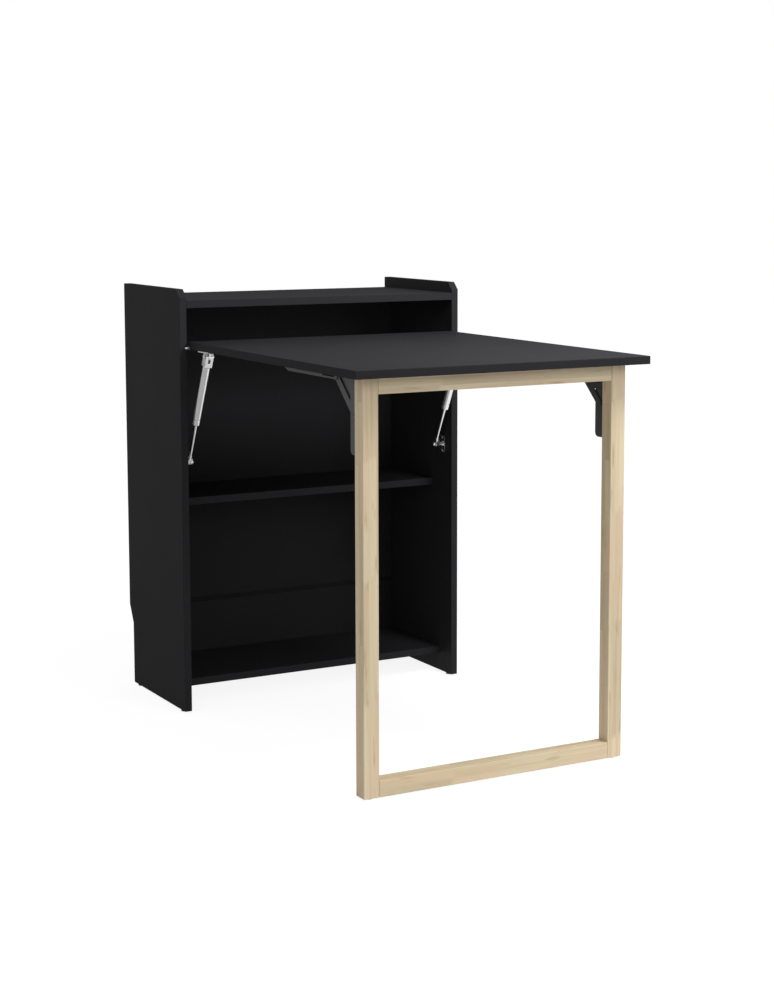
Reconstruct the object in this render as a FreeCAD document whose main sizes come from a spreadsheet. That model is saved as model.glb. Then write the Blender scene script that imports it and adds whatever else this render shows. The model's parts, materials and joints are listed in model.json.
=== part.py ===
"""Folding desk: a low bookcase whose hinged desk top stands on a fold-up wooden leg frame.

Frame of the part: +Z up, +X to the right seen from the front, the cabinet at +Y and the desk top
reaching towards -Y. The origin lies on the floor, in the middle of the unfolded desk's box.
"""
import FreeCAD, Part
import os
import re

import Sketcher

SIZES = {
    "board": 15, "edge_break": 0.8,
    "cabinet_width": 635, "cabinet_depth": 300, "cabinet_height": 853,
    "glide_height": 3.5, "glide_inset": 22,
    "corner_cut": 16, "notch_top": 171, "notch_bottom": 132, "notch_depth": 20,
    "top_shelf_drop": 22, "top_shelf_rear_gap": 12,
    "middle_shelf_height": 425, "middle_shelf_setback": 80,
    "bottom_shelf_height": 57, "bottom_shelf_setback": 49,
    "back_inset": 28, "back_thickness": 3, "back_groove_depth": 6, "back_play": 0.2,
    "seam_height": 169, "strip_flange": 5, "strip_wall": 1,
    "dowel_radius": 4, "dowel_in_panel": 10, "dowel_in_shelf": 18, "bore_play": 0.1, "bore_end_play": 0.5,
    "cam_radius": 7.5, "cam_beyond": 4.5, "cam_distance": 34, "cam_inset": 45, "dowel_pitch": 32,
    "bolt_radius": 3, "bolt_in_panel": 10, "bolt_thread_radius": 2.5,
    "desk_height": 750, "desk_reach": 715, "desk_side_gap": 2.5, "desk_rear_overlap": 1,
    "pivot_forward": 7.5, "pivot_depth": 12, "pivot_pin_radius": 2, "pivot_pin_length": 30,
    "pivot_pin_reach": 7.5, "pin_play": 0.05, "face_play": 0.3,
    "plate_wall": 2, "plate_nose": 4.5, "plate_reach": 42, "plate_drop": 26, "plate_start": 14,
    "plate_neck": 5,
    "screw_radius": 1.8, "screw_length": 11, "screw_head_radius": 3.8, "screw_head": 2.2,
    "frame_inset": 48, "stick": 30, "desk_overhang": 34, "leg_glide_height": 2.5, "leg_glide_radius": 9,
    "leg_top_play": 0.3, "rail_dowel_half": 28,
    "leg_pivot_drop": 35, "leg_pivot_back": 17, "leg_pin_radius": 4, "leg_pin_head_radius": 6.5,
    "pin_head": 2,
    "arm_wall": 2, "plate_line": 14.1, "arm_length": 332, "arm_height": 16, "arm_taper": 36,
    "arm_tip": 4, "arm_flange": 18, "arm_front_gap": 3, "gusset_drop": 15.5, "gusset_round": 12,
    "slot_height": 6, "slot_margin": 5, "slot_drop": 9.5, "slot_rear": 99, "slot_run": 56,
    "brace_wall": 2.5, "brace_half_width": 7, "brace_pin_radius": 2.5,
    "brace_foot_back": 11, "brace_foot_drop": 40,
    "leg_plate_rear": 25, "leg_plate_top": 20, "leg_plate_crown": 6,
    "leg_plate_bottom": 105, "leg_plate_round": 9, "leg_plate_flange": 12, "leg_plate_flange_top": 6,
    "strut_offset": 17, "fork_half": 8, "fork_depth": 7.5, "fork_crown": 7, "fork_slot": 12,
    "tongue_wall": 4, "strut_pin_radius": 3, "strut_top_forward": 67, "strut_top_drop": 10,
    "strut_foot_back": 38, "strut_foot_height": 505,
    "cylinder_radius": 7.5, "cylinder_wall": 1, "cylinder_end": 4, "cylinder_top": 22, "cylinder_reach": 156,
    "guide_length": 10, "shoulder_round": 1.5,
    "rod_radius": 3, "piston_play": 0.1, "piston_length": 6, "piston_gap": 3, "rod_end_length": 16,
    "rod_end_half": 5.5, "rod_end_width": 9, "rod_end_body": 10, "rod_collar_radius": 4,
    "bracket_wall": 2, "bracket_half_length": 19, "bracket_side": 6, "bracket_ear_half": 8,
    "bracket_pin_head_radius": 4.5, "bracket_screw_pitch": 14,
    "foot_plate_half_width": 11, "foot_plate_half_height": 21, "foot_shoulder": 5,
    "foot_shoulder_radius": 6.5, "foot_stud_radius": 4, "foot_screw_pitch": 14,
    "cut_overrun": 2,
}

# Places and sizes that follow from the driving dimensions.
WORKED_OUT = {
    "front_plane": "(desk_reach - cabinet_depth) / 2",
    "rear_plane": "(desk_reach + cabinet_depth) / 2",
    "inner_half": "cabinet_width / 2 - board",
    "back_front": "rear_plane - back_inset",
    "top_shelf_height": "cabinet_height - top_shelf_drop",
    "top_shelf_under": "top_shelf_height - board",
    "desk_half": "inner_half - desk_side_gap",
    "desk_under": "desk_height - board",
    "desk_front": "front_plane - desk_reach",
    "desk_rear": "front_plane + desk_rear_overlap",
    "pivot_y": "front_plane - pivot_forward",
    "pivot_z": "desk_height - pivot_depth",
    "leg_outer": "cabinet_width / 2 - frame_inset",
    "leg_inner": "leg_outer - stick",
    "leg_front": "desk_front + desk_overhang",
    "leg_rear": "leg_front + stick",
    "leg_top": "desk_under - leg_top_play",
    "leg_pivot_y": "leg_rear + leg_pivot_back",
    "leg_pivot_z": "desk_under - leg_pivot_drop",
    "arm_front": "leg_rear + arm_front_gap",
    "leg_plate_outer": "leg_outer - plate_line",
    "brace_outer": "leg_plate_outer - arm_wall - face_play",
    "arm_outer": "brace_outer - brace_wall - face_play",
    "arm_screw_line": "arm_outer - (arm_flange + arm_wall) / 2",
    "brace_foot_y": "leg_pivot_y + brace_foot_back",
    "brace_foot_z": "leg_pivot_z - brace_foot_drop",
    "brace_top_y": "leg_rear + slot_rear",
    "brace_top_z": "desk_under - slot_drop",
    "brace_run_y": "brace_top_y - brace_foot_y",
    "brace_run_z": "brace_top_z - brace_foot_z",
    "brace_length": "sqrt((brace_run_y) ^ 2 + (brace_run_z) ^ 2)",
    "strut_line": "inner_half - strut_offset",
    "strut_top_y": "front_plane - strut_top_forward",
    "strut_top_z": "desk_under - strut_top_drop",
    "strut_foot_y": "front_plane + strut_foot_back",
    "strut_run_y": "strut_foot_y - strut_top_y",
    "strut_run_z": "strut_top_z - strut_foot_height",
    "strut_length": "sqrt((strut_run_y) ^ 2 + (strut_run_z) ^ 2)",
    "strut_tilt": "atan2(strut_run_y; strut_run_z)",
    "cam_depth": "board / 2 + cam_beyond",
    "plate_bore": "screw_radius + bore_play",
}
WORD = re.compile(r"[a-z][a-z_0-9]*")
MIRRORED = {"left": -1, "right": 1}

doc = FreeCAD.newDocument("FoldingDesk")
sheet = doc.addObject("Spreadsheet::Sheet", "Sizes")
for row, (alias, value) in enumerate(SIZES.items(), start=1):
    sheet.set(f"A{row}", alias)
    sheet.set(f"B{row}", str(value))
    sheet.setAlias(f"B{row}", alias)
doc.recompute()
nodes = []


def bound(text):
    """The expression with each size and worked-out place replaced by what the sheet holds."""
    def swap(match):
        word = match.group(0)
        if word in SIZES:
            return f"Sizes.{word}"
        if word in WORKED_OUT:
            return f"({bound(WORKED_OUT[word])})"
        return word
    return WORD.sub(swap, str(text))


def measure(text):
    """The number that an expression gives with the sheet's present values."""
    result = sheet.evalExpression(bound(text))
    return float(getattr(result, "Value", result))


def bind(thing, **sizes):
    """Ties properties of an object to expressions."""
    for name, text in sizes.items():
        thing.setExpression(name, bound(text))
    return thing


def place(thing, x="0", y="0", z="0", axis=None, angle="0"):
    """Ties an object's place, and its turn about one axis, to expressions."""
    turn = "rotation(vector(1; 0; 0); 0)" if axis is None else f"rotation(vector({axis}); {angle})"
    thing.setExpression("Placement", bound(f"placement(vector({x}; {y}; {z}); {turn})"))
    return thing


def keep(thing, label):
    """Names a finished sub-part and puts it on the list of those to be written."""
    thing.Label = label
    nodes.append(thing)
    return thing


def block(name, x, y, z, length, width, height):
    """A box whose lowest corner and three sides are expressions."""
    thing = doc.addObject("Part::Box", name)
    bind(thing, Length=length, Width=width, Height=height)
    return place(thing, x, y, z)


def rod(name, radius, height, x, y, z, along="z"):
    """A round bar from a point along +X, +Y or +Z."""
    thing = doc.addObject("Part::Cylinder", name)
    bind(thing, Radius=radius, Height=height)
    turns = {"x": ("0; 1; 0", "90"), "y": ("1; 0; 0", "-90"), "z": (None, "0")}
    axis, angle = turns[along]
    return place(thing, x, y, z, axis, angle)


def group(name, things):
    """Separate solids kept together as one object."""
    thing = doc.addObject("Part::Compound", name)
    thing.Links = things
    return thing


def joined(name, things):
    """One solid made of several that touch."""
    thing = doc.addObject("Part::MultiFuse", name)
    thing.Shapes = things
    thing.Refine = True
    return thing


def cut(name, base, tools):
    """A solid with the tools taken out of it."""
    thing = doc.addObject("Part::Cut", name)
    thing.Base = base
    thing.Tool = tools[0] if len(tools) == 1 else group(name + "_tools", tools)
    return thing


def plane_of(body, role):
    """The body's own origin plane of that role."""
    return next(item for item in body.Origin.OriginFeatures if item.Role == role)


def sketch_on(body, name, role):
    """An empty sketch on one of the body's origin planes."""
    sketch = body.newObject("Sketcher::SketchObject", name)
    sketch.AttachmentSupport = [(plane_of(body, role), "")]
    sketch.MapMode = "FlatFace"
    return sketch


def draw_outline(sketch, corners):
    """A closed straight-sided outline; each corner is tied to the sketch's origin."""
    points = [FreeCAD.Vector(measure(u), measure(v), 0) for u, v in corners]
    first = sketch.GeometryCount
    count = len(points)
    for index, point in enumerate(points):
        sketch.addGeometry(Part.LineSegment(point, points[(index + 1) % count]), False)
    for index in range(count):
        after = first + (index + 1) % count
        sketch.addConstraint(Sketcher.Constraint("Coincident", first + index, 2, after, 1))
    for index, (corner, point) in enumerate(zip(corners, points)):
        for kind, text, value in (("DistanceX", corner[0], point.x), ("DistanceY", corner[1], point.y)):
            tie = sketch.addConstraint(Sketcher.Constraint(kind, -1, 1, first + index, 1, value))
            sketch.setExpression(f"Constraints[{tie}]", bound(text))


def draw_circle(sketch, u, v, radius):
    """A circle whose centre and radius are expressions."""
    centre = FreeCAD.Vector(measure(u), measure(v), 0)
    circle = sketch.addGeometry(Part.Circle(centre, FreeCAD.Vector(0, 0, 1), measure(radius)), False)
    for kind, text, value in (("DistanceX", u, centre.x), ("DistanceY", v, centre.y)):
        tie = sketch.addConstraint(Sketcher.Constraint(kind, -1, 1, circle, 3, value))
        sketch.setExpression(f"Constraints[{tie}]", bound(text))
    tie = sketch.addConstraint(Sketcher.Constraint("Radius", circle, measure(radius)))
    sketch.setExpression(f"Constraints[{tie}]", bound(radius))


def edges_through(shape, points, tolerance):
    """Names of the straight edges along X that pass through the given places in Y and Z."""
    found = []
    for number, edge in enumerate(shape.Edges, start=1):
        if len(edge.Vertexes) != 2:
            continue
        start, end = (vertex.Point for vertex in edge.Vertexes)
        if abs(start.x - end.x) < tolerance:
            continue
        if any(abs(start.y - y) + abs(start.z - z) + abs(end.y - y) + abs(end.z - z) < tolerance
               for y, z in points):
            found.append(f"Edge{number}")
    return found


def profile_plate(name, corners, thickness, holes=(), rounds=()):
    """A plate cut from sheet or board: an outline in Y and Z, padded along +X, holed and rounded."""
    body = doc.addObject("PartDesign::Body", name)
    sketch = sketch_on(body, name + "_outline", "YZ_Plane")
    draw_outline(sketch, corners)
    for u, v, radius in holes:
        draw_circle(sketch, u, v, radius)
    pad = body.newObject("PartDesign::Pad", name + "_pad")
    pad.Profile = sketch
    bind(pad, Length=thickness)
    sketch.Visibility = False
    doc.recompute()
    for number, (radius, places) in enumerate(rounds, start=1):
        points = [(measure(u), measure(v)) for u, v in places]
        base = body.Tip
        fillet = body.newObject("PartDesign::Fillet", f"{name}_round_{number}")
        tolerance = measure("face_play")
        fillet.Base = (base, edges_through(base.Shape, points, tolerance))
        bind(fillet, Radius=radius)
        body.Tip = fillet
        doc.recompute()
    return body


def turned(name, outline):
    """A piece turned about its own Z axis from a half outline of radius and height pairs."""
    body = doc.addObject("PartDesign::Body", name)
    sketch = sketch_on(body, name + "_outline", "XZ_Plane")
    draw_outline(sketch, outline)
    revolution = body.newObject("PartDesign::Revolution", name + "_turn")
    revolution.Profile = sketch
    revolution.ReferenceAxis = (sketch, ["V_Axis"])
    revolution.Angle = 360
    sketch.Visibility = False
    doc.recompute()
    return body


def on_side(side, outer, thickness):
    """The low X of a piece that lies inwards of a distance from the middle, on either side."""
    return f"({outer}) - ({thickness})" if side == "right" else f"-({outer})"


# Bores of the fittings that hold the shelves: dowels, and bolts drawn in by cams.
def shelf_rows():
    """Each fixed shelf with its underside's height, its front edge and its rear edge."""
    return (
        ("top_shelf", "top_shelf_under", "front_plane", "rear_plane - top_shelf_rear_gap"),
        ("middle_shelf", "middle_shelf_height - board", "front_plane + middle_shelf_setback", "back_front"),
        ("bottom_shelf", "bottom_shelf_height - board", "front_plane + bottom_shelf_setback", "back_front"),
    )


def fitting_places(front, rear):
    """Places along Y of the two cam bolts and the two dowels at a shelf's end."""
    first, last = f"({front}) + cam_inset", f"({rear}) - cam_inset"
    return (first, last), (f"({first}) + dowel_pitch", f"({last}) - dowel_pitch")


def side_panel(side):
    """A side of the cabinet: cut top corner, clearance for a skirting board, groove and bores."""
    name = f"side_panel_{side}"
    corners = (
        ("front_plane", "glide_height"), ("rear_plane - notch_depth", "glide_height"),
        ("rear_plane - notch_depth", "notch_bottom"), ("rear_plane", "notch_top"),
        ("rear_plane", "cabinet_height"), ("front_plane + corner_cut", "cabinet_height"),
        ("front_plane", "cabinet_height - corner_cut"),
    )
    body = profile_plate(name + "_board", corners, "board")
    base = body.Tip
    edge = body.newObject("PartDesign::Chamfer", name + "_edge")
    front = measure("front_plane")
    near = measure("face_play")
    names = []
    for number, line in enumerate(base.Shape.Edges, start=1):
        start, end = (vertex.Point for vertex in line.Vertexes)
        upright = abs(start.y - front) + abs(end.y - front) < near and abs(start.x - end.x) < near
        if upright:
            names.append(f"Edge{number}")
    edge.Base = (base, names)
    bind(edge, Size="edge_break")
    body.Tip = edge
    place(body, on_side(side, "cabinet_width / 2", "board"))
    tools = []
    for shelf, under, front_edge, rear_edge in shelf_rows():
        bolts, dowels = fitting_places(front_edge, rear_edge)
        middle = f"({under}) + board / 2"
        for number, y in enumerate(bolts):
            tools.append(panel_bore(side, f"{name}_{shelf}_bolt_{number}", "bolt_in_panel + bore_end_play",
                                    "bolt_thread_radius + bore_play", y, middle))
        for number, y in enumerate(dowels):
            tools.append(panel_bore(side, f"{name}_{shelf}_dowel_{number}", "dowel_in_panel + bore_end_play",
                                    "dowel_radius + bore_play", y, middle))
    for label, y, z in wall_screw_places(side):
        tools.append(panel_bore(side, f"{name}_{label}", "screw_length + bore_end_play", "plate_bore", y, z))
    groove_low = on_side(side, "inner_half + back_groove_depth", "back_groove_depth + cut_overrun")
    tools.append(block(name + "_groove", groove_low, "back_front - back_play", "bottom_shelf_height - board",
                       "back_groove_depth + cut_overrun", "back_thickness + 2 * back_play",
                       "top_shelf_under + back_groove_depth - bottom_shelf_height + board"))
    return keep(cut(name + "_cut", body, tools), name)


def panel_bore(side, name, depth, radius, y, z):
    """A blind bore into a side panel from its inner face."""
    low = on_side(side, f"inner_half + {depth}", f"{depth} + cut_overrun")
    return rod(name, radius, f"{depth} + cut_overrun", low, y, z, "x")


def wall_screw_places(side):
    """Places of the screws that hold the pivot plate and the strut's foot on a side panel."""
    low, high = "pivot_z - plate_drop + plate_neck", "pivot_z"
    return (
        ("plate_low", "front_plane + plate_reach - 2 * plate_neck", low),
        ("plate_high", "front_plane + plate_reach - 2 * plate_neck", high),
        ("foot_low", "strut_foot_y", "strut_foot_height - foot_screw_pitch"),
        ("foot_high", "strut_foot_y", "strut_foot_height + foot_screw_pitch"),
    )


def shelf(row):
    """A fixed shelf with its bores for dowels, bolts and cams, and the top one with its groove."""
    name, under, front, rear = row
    board = block(name + "_board", "-(inner_half)", front, under,
                  "2 * (inner_half)", f"({rear}) - ({front})", "board")
    bolts, dowels = fitting_places(front, rear)
    middle = f"({under}) + board / 2"
    tools = []
    for side in MIRRORED:
        for number, y in enumerate(bolts):
            label = f"{name}_{side}_{number}"
            length = "cam_distance + cut_overrun"
            low = on_side(side, "inner_half + cut_overrun", length)
            tools.append(rod(label + "_bolt_bore", "bolt_radius + bore_play", length, low, y, middle, "x"))
            x = on_side(side, "inner_half - cam_distance", "0")
            tools.append(rod(label + "_cam_bore", "cam_radius + bore_play",
                             "cam_depth + cut_overrun + bore_play", x, y, f"({under}) - cut_overrun"))
        for number, y in enumerate(dowels):
            length = "dowel_in_shelf + bore_end_play + cut_overrun"
            low = on_side(side, "inner_half + cut_overrun", length)
            tools.append(rod(f"{name}_{side}_{number}_dowel_bore", "dowel_radius + bore_play", length,
                             low, y, middle, "x"))
    if name == "top_shelf":
        tools.append(block(name + "_groove", "-(inner_half) - cut_overrun", "back_front - back_play",
                           f"({under}) - cut_overrun", "2 * (inner_half) + 2 * cut_overrun",
                           "back_thickness + 2 * back_play", "back_groove_depth + cut_overrun"))
    return keep(cut(name + "_cut", board, tools), name)


def shelf_fittings():
    """Dowels, cam bolts and cams of the three shelves, as three groups of separate solids."""
    pegs, bolts, cams = [], [], []
    for name, under, front, rear in shelf_rows():
        bolt_places, dowel_places = fitting_places(front, rear)
        middle = f"({under}) + board / 2"
        for side in MIRRORED:
            for number, y in enumerate(dowel_places):
                length = "dowel_in_panel + dowel_in_shelf"
                low = on_side(side, "inner_half + dowel_in_panel", length)
                pegs.append(rod(f"peg_{name}_{side}_{number}", "dowel_radius", length, low, y, middle, "x"))
            for number, y in enumerate(bolt_places):
                label = f"{name}_{side}_{number}"
                low = on_side(side, "inner_half + bolt_in_panel", "bolt_in_panel")
                thread = rod("thread_" + label, "bolt_thread_radius", "bolt_in_panel", low, y, middle, "x")
                neck_length = "cam_distance - cam_radius - bore_end_play"
                low = on_side(side, "inner_half", neck_length)
                neck = rod("neck_" + label, "bolt_radius", neck_length, low, y, middle, "x")
                bolts.append(joined("bolt_" + label, [thread, neck]))
                x = on_side(side, "inner_half - cam_distance", "0")
                disc = rod("disc_" + label, "cam_radius", "cam_depth", x, y, under)
                slot = block("slot_" + label, f"({x}) - cam_radius / 2", f"({y}) - edge_break",
                             f"({under}) - cut_overrun", "cam_radius", "2 * edge_break", "2 * cut_overrun")
                cams.append(cut("cam_" + label, disc, [slot]))
    keep(group("shelf_dowels", pegs), "shelf_dowels")
    keep(group("cam_bolts", bolts), "cam_bolts")
    keep(group("cam_locks", cams), "cam_locks")


def back():
    """The back in two thin sheets, with a joining strip of H section along their seam."""
    reach = "inner_half + back_groove_depth - back_play"
    sheet_low = "bottom_shelf_height - board"
    lower_top = "seam_height - strip_wall / 2"
    upper_low = "seam_height + strip_wall / 2"
    keep(block("back_panel_lower_sheet", f"-({reach})", "back_front", sheet_low, f"2 * ({reach})",
               "back_thickness", f"{lower_top} - ({sheet_low})"), "back_panel_lower")
    keep(block("back_panel_upper_sheet", f"-({reach})", "back_front", upper_low, f"2 * ({reach})",
               "back_thickness", f"top_shelf_under + back_groove_depth - back_play - ({upper_low})"),
         "back_panel_upper")
    width = "2 * (inner_half)"
    front_flange = block("strip_front", "-(inner_half)", "back_front - strip_wall",
                         "seam_height - strip_flange", width, "strip_wall", "2 * strip_flange")
    rear_flange = block("strip_rear", "-(inner_half)", "back_front + back_thickness",
                        "seam_height - strip_flange", width, "strip_wall", "2 * strip_flange")
    web = block("strip_web", "-(inner_half)", "back_front", lower_top, width, "back_thickness", "strip_wall")
    keep(joined("strip_joined", [front_flange, rear_flange, web]), "back_joint_strip")


def cabinet_glides():
    """Four small round glides under the two side panels."""
    discs = []
    for side in MIRRORED:
        x = on_side(side, "cabinet_width / 2 - board / 2", "0")
        for label, y in (("front", "front_plane + glide_inset"),
                         ("rear", "rear_plane - notch_depth - glide_inset")):
            discs.append(rod(f"glide_{side}_{label}", "board / 2 - edge_break", "glide_height", x, y, "0"))
    keep(group("cabinet_glides", discs), "cabinet_glides")


def pan_screw(name, side, face, y, z):
    """A pan-head screw driven outwards into a side panel; face is where its head seats."""
    shank = rod(name + "_shank", "screw_radius", "screw_length",
                on_side(side, f"{face} + screw_length", "screw_length"), y, z, "x")
    head = rod(name + "_head", "screw_head_radius", "screw_head",
               on_side(side, face, "screw_head"), y, z, "x")
    return joined(name, [shank, head])


def pivot_plates():
    """Flat plates on the side panels, whose noses reach forward and carry the desk top's pins."""
    screws = []
    for side in MIRRORED:
        nose_low, nose_high = "pivot_z - plate_nose", "pivot_z + plate_nose"
        nose_tip = "pivot_y - plate_nose"
        heel_low = "pivot_z - plate_drop"
        end = "front_plane + plate_reach"
        corners = (
            (nose_tip, nose_low), ("front_plane + plate_neck", nose_low),
            ("front_plane + plate_start", heel_low), (end, heel_low), (end, nose_high), (nose_tip, nose_high),
        )
        holes = [("pivot_y", "pivot_z", "pivot_pin_radius + pin_play")]
        for label, y, z in wall_screw_places(side)[:2]:
            holes.append((y, z, "plate_bore"))
            screws.append(pan_screw(f"plate_screw_{side}_{label}", side, "inner_half - plate_wall", y, z))
        rounds = [("plate_nose - edge_break / 2", [(nose_tip, nose_low), (nose_tip, nose_high)]),
                  ("plate_neck", [(end, heel_low), (end, nose_high)])]
        plate = profile_plate(f"pivot_plate_{side}_sheet", corners, "plate_wall", holes, rounds)
        place(plate, on_side(side, "inner_half", "plate_wall"))
        keep(plate, f"pivot_plate_{side}")
    keep(group("pivot_plate_screws", screws), "pivot_plate_screws")


def strut_feet():
    """Brackets on the side panels with the studs that the gas struts' lower ends turn on."""
    screws = []
    for side in MIRRORED:
        low = "strut_foot_height - foot_plate_half_height"
        high = "strut_foot_height + foot_plate_half_height"
        front, end = "strut_foot_y - foot_plate_half_width", "strut_foot_y + foot_plate_half_width"
        corners = ((front, low), (end, low), (end, high), (front, high))
        holes = []
        for label, y, z in wall_screw_places(side)[2:]:
            holes.append((y, z, "plate_bore"))
            screws.append(pan_screw(f"foot_screw_{side}_{label}", side, "inner_half - plate_wall",
                                    y, z))
        plate = profile_plate(f"foot_plate_{side}", corners, "plate_wall", holes,
                              [("foot_plate_half_width - edge_break", corners)])
        place(plate, on_side(side, "inner_half", "plate_wall"))
        shoulder = rod(f"foot_shoulder_{side}", "foot_shoulder_radius", "foot_shoulder",
                       on_side(side, "inner_half", "foot_shoulder"), "strut_foot_y", "strut_foot_height", "x")
        stud_length = "strut_offset - rod_end_width / 2 - face_play"
        stud = rod(f"foot_stud_{side}", "foot_stud_radius", stud_length,
                   on_side(side, "inner_half", stud_length), "strut_foot_y", "strut_foot_height", "x")
        keep(joined(f"strut_foot_{side}_joined", [plate, shoulder, stud]), f"strut_foot_{side}")
    keep(group("strut_foot_screws", screws), "strut_foot_screws")


def under_screw(name, x, y, z):
    """A pan-head screw driven up into the desk top; z is the face that its head seats on."""
    shank = rod(name + "_shank", "screw_radius", "screw_length", x, y, z)
    head = rod(name + "_head", "screw_head_radius", "screw_head", x, y, f"({z}) - screw_head")
    return joined(name, [shank, head])


def bracket_screw_places():
    """Places of the screws of one clevis, fore and aft of its pin."""
    return "strut_top_y - bracket_screw_pitch", "strut_top_y + bracket_screw_pitch"


def arm_screw_shares():
    """Where the four screws of an arm's flange lie, as shares of its full-width length."""
    screw_shares = (0.06, 0.36, 0.66, 0.94)
    length = "(arm_length - arm_taper)"
    return [f"arm_front + {share} * {length}" for share in screw_shares]


def desk_top():
    """The desk top with its pin bores in the two edges and pilot bores in the underside."""
    board = doc.addObject("PartDesign::Body", "desk_top_board")
    sketch = sketch_on(board, "desk_top_outline", "XY_Plane")
    draw_outline(sketch, (("-(desk_half)", "desk_front"), ("desk_half", "desk_front"),
                          ("desk_half", "desk_rear"), ("-(desk_half)", "desk_rear")))
    pad = board.newObject("PartDesign::Pad", "desk_top_pad")
    pad.Profile = sketch
    bind(pad, Length="board")
    sketch.Visibility = False
    doc.recompute()
    chamfer = board.newObject("PartDesign::Chamfer", "desk_top_edge")
    upper = [f"Edge{number}" for number, edge in enumerate(pad.Shape.Edges, start=1)
             if min(vertex.Point.z for vertex in edge.Vertexes) > measure("board / 2")]
    chamfer.Base = (pad, upper)
    bind(chamfer, Size="edge_break")
    board.Tip = chamfer
    place(board, z="desk_under")
    tools = []
    for side in MIRRORED:
        depth = "pivot_pin_length - desk_side_gap + bore_end_play"
        low = on_side(side, "desk_half + cut_overrun", f"{depth} + cut_overrun")
        tools.append(rod(f"desk_pin_bore_{side}", "pivot_pin_radius + pin_play", f"{depth} + cut_overrun",
                         low, "pivot_y", "pivot_z", "x"))
        x_clevis = on_side(side, "strut_line", "0")
        x_arm = on_side(side, "arm_screw_line", "0")
        spots = [(x_clevis, y) for y in bracket_screw_places()] + [(x_arm, y) for y in arm_screw_shares()]
        for number, (x, y) in enumerate(spots):
            tools.append(rod(f"desk_pilot_{side}_{number}", "plate_bore",
                             "screw_length - plate_wall + bore_end_play + cut_overrun",
                             x, y, "desk_under - cut_overrun"))
    keep(cut("desk_top_cut", board, tools), "desk_top")


def pivot_pins():
    """Steel pins pressed into the desk top's edges; they reach out in front of the side panels."""
    for side in MIRRORED:
        outer, length = "inner_half + pivot_pin_reach", "pivot_pin_reach + pivot_pin_length"
        pin = rod(f"pivot_shank_{side}", "pivot_pin_radius", length, on_side(side, outer, length),
                  "pivot_y", "pivot_z", "x")
        keep(pin, f"pivot_pin_{side}")


def strut_brackets():
    """Brackets under the desk top, each with a tongue for a strut's fork, a pin and two screws."""
    pins, screws = [], []
    for side in MIRRORED:
        wide = "2 * fork_half + 2 * bracket_side"
        base = block(f"bracket_base_{side}", on_side(side, f"strut_line + ({wide}) / 2", wide),
                     "strut_top_y - bracket_half_length", "desk_under - bracket_wall", wide,
                     "2 * bracket_half_length", "bracket_wall")
        ear_low = "strut_top_z - bracket_ear_half"
        front, end = "strut_top_y - bracket_ear_half", "strut_top_y + bracket_ear_half"
        top = "desk_under - bracket_wall / 2"
        corners = ((front, ear_low), (end, ear_low), (end, top), (front, top))
        tongue = profile_plate(f"bracket_tongue_{side}", corners, "tongue_wall",
                               [("strut_top_y", "strut_top_z", "strut_pin_radius + bore_play")],
                               [("bracket_ear_half - edge_break", [(front, ear_low), (end, ear_low)])])
        place(tongue, on_side(side, "strut_line + tongue_wall / 2", "tongue_wall"))
        bores = []
        x = on_side(side, "strut_line", "0")
        for number, y in enumerate(bracket_screw_places()):
            bores.append(rod(f"bracket_hole_{side}_{number}", "plate_bore", "bracket_wall + 2 * cut_overrun",
                             x, y, "desk_under - bracket_wall - cut_overrun"))
            screws.append(under_screw(f"bracket_screw_{side}_{number}", x, y, "desk_under - bracket_wall"))
        bracket = joined(f"bracket_joined_{side}", [base, tongue])
        keep(cut(f"bracket_cut_{side}", bracket, bores), f"strut_bracket_{side}")
        outer = "strut_line + fork_half + face_play"
        length = "2 * fork_half + 2 * face_play"
        shank = rod(f"bracket_pin_{side}", "strut_pin_radius", length, on_side(side, outer, length),
                    "strut_top_y", "strut_top_z", "x")
        heads = []
        for number, edge in enumerate((f"{outer} + pin_head", f"{outer} - ({length})")):
            heads.append(rod(f"bracket_head_{side}_{number}", "bracket_pin_head_radius", "pin_head",
                             on_side(side, edge, "pin_head"), "strut_top_y", "strut_top_z", "x"))
        pins.append(joined(f"bracket_pin_joined_{side}", [shank] + heads))
    keep(group("strut_bracket_pins", pins), "strut_bracket_pins")
    keep(group("strut_bracket_screws", screws), "strut_bracket_screws")


def along_strut(thing, side):
    """Sets a turned piece at the strut's upper pin, with its -Z pointing at the lower stud."""
    x = on_side(side, "strut_line", "0")
    return place(thing, x, "strut_top_y", "strut_top_z", "1; 0; 0", "strut_tilt")


def tilted(thing, side, half):
    """Sets a plate along the strut, its middle on the strut's line; half is half its thickness."""
    x = on_side(side, f"strut_line + {half}", f"2 * ({half})")
    return place(thing, x, "strut_top_y", "strut_top_z", "1; 0; 0", "strut_tilt")


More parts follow.
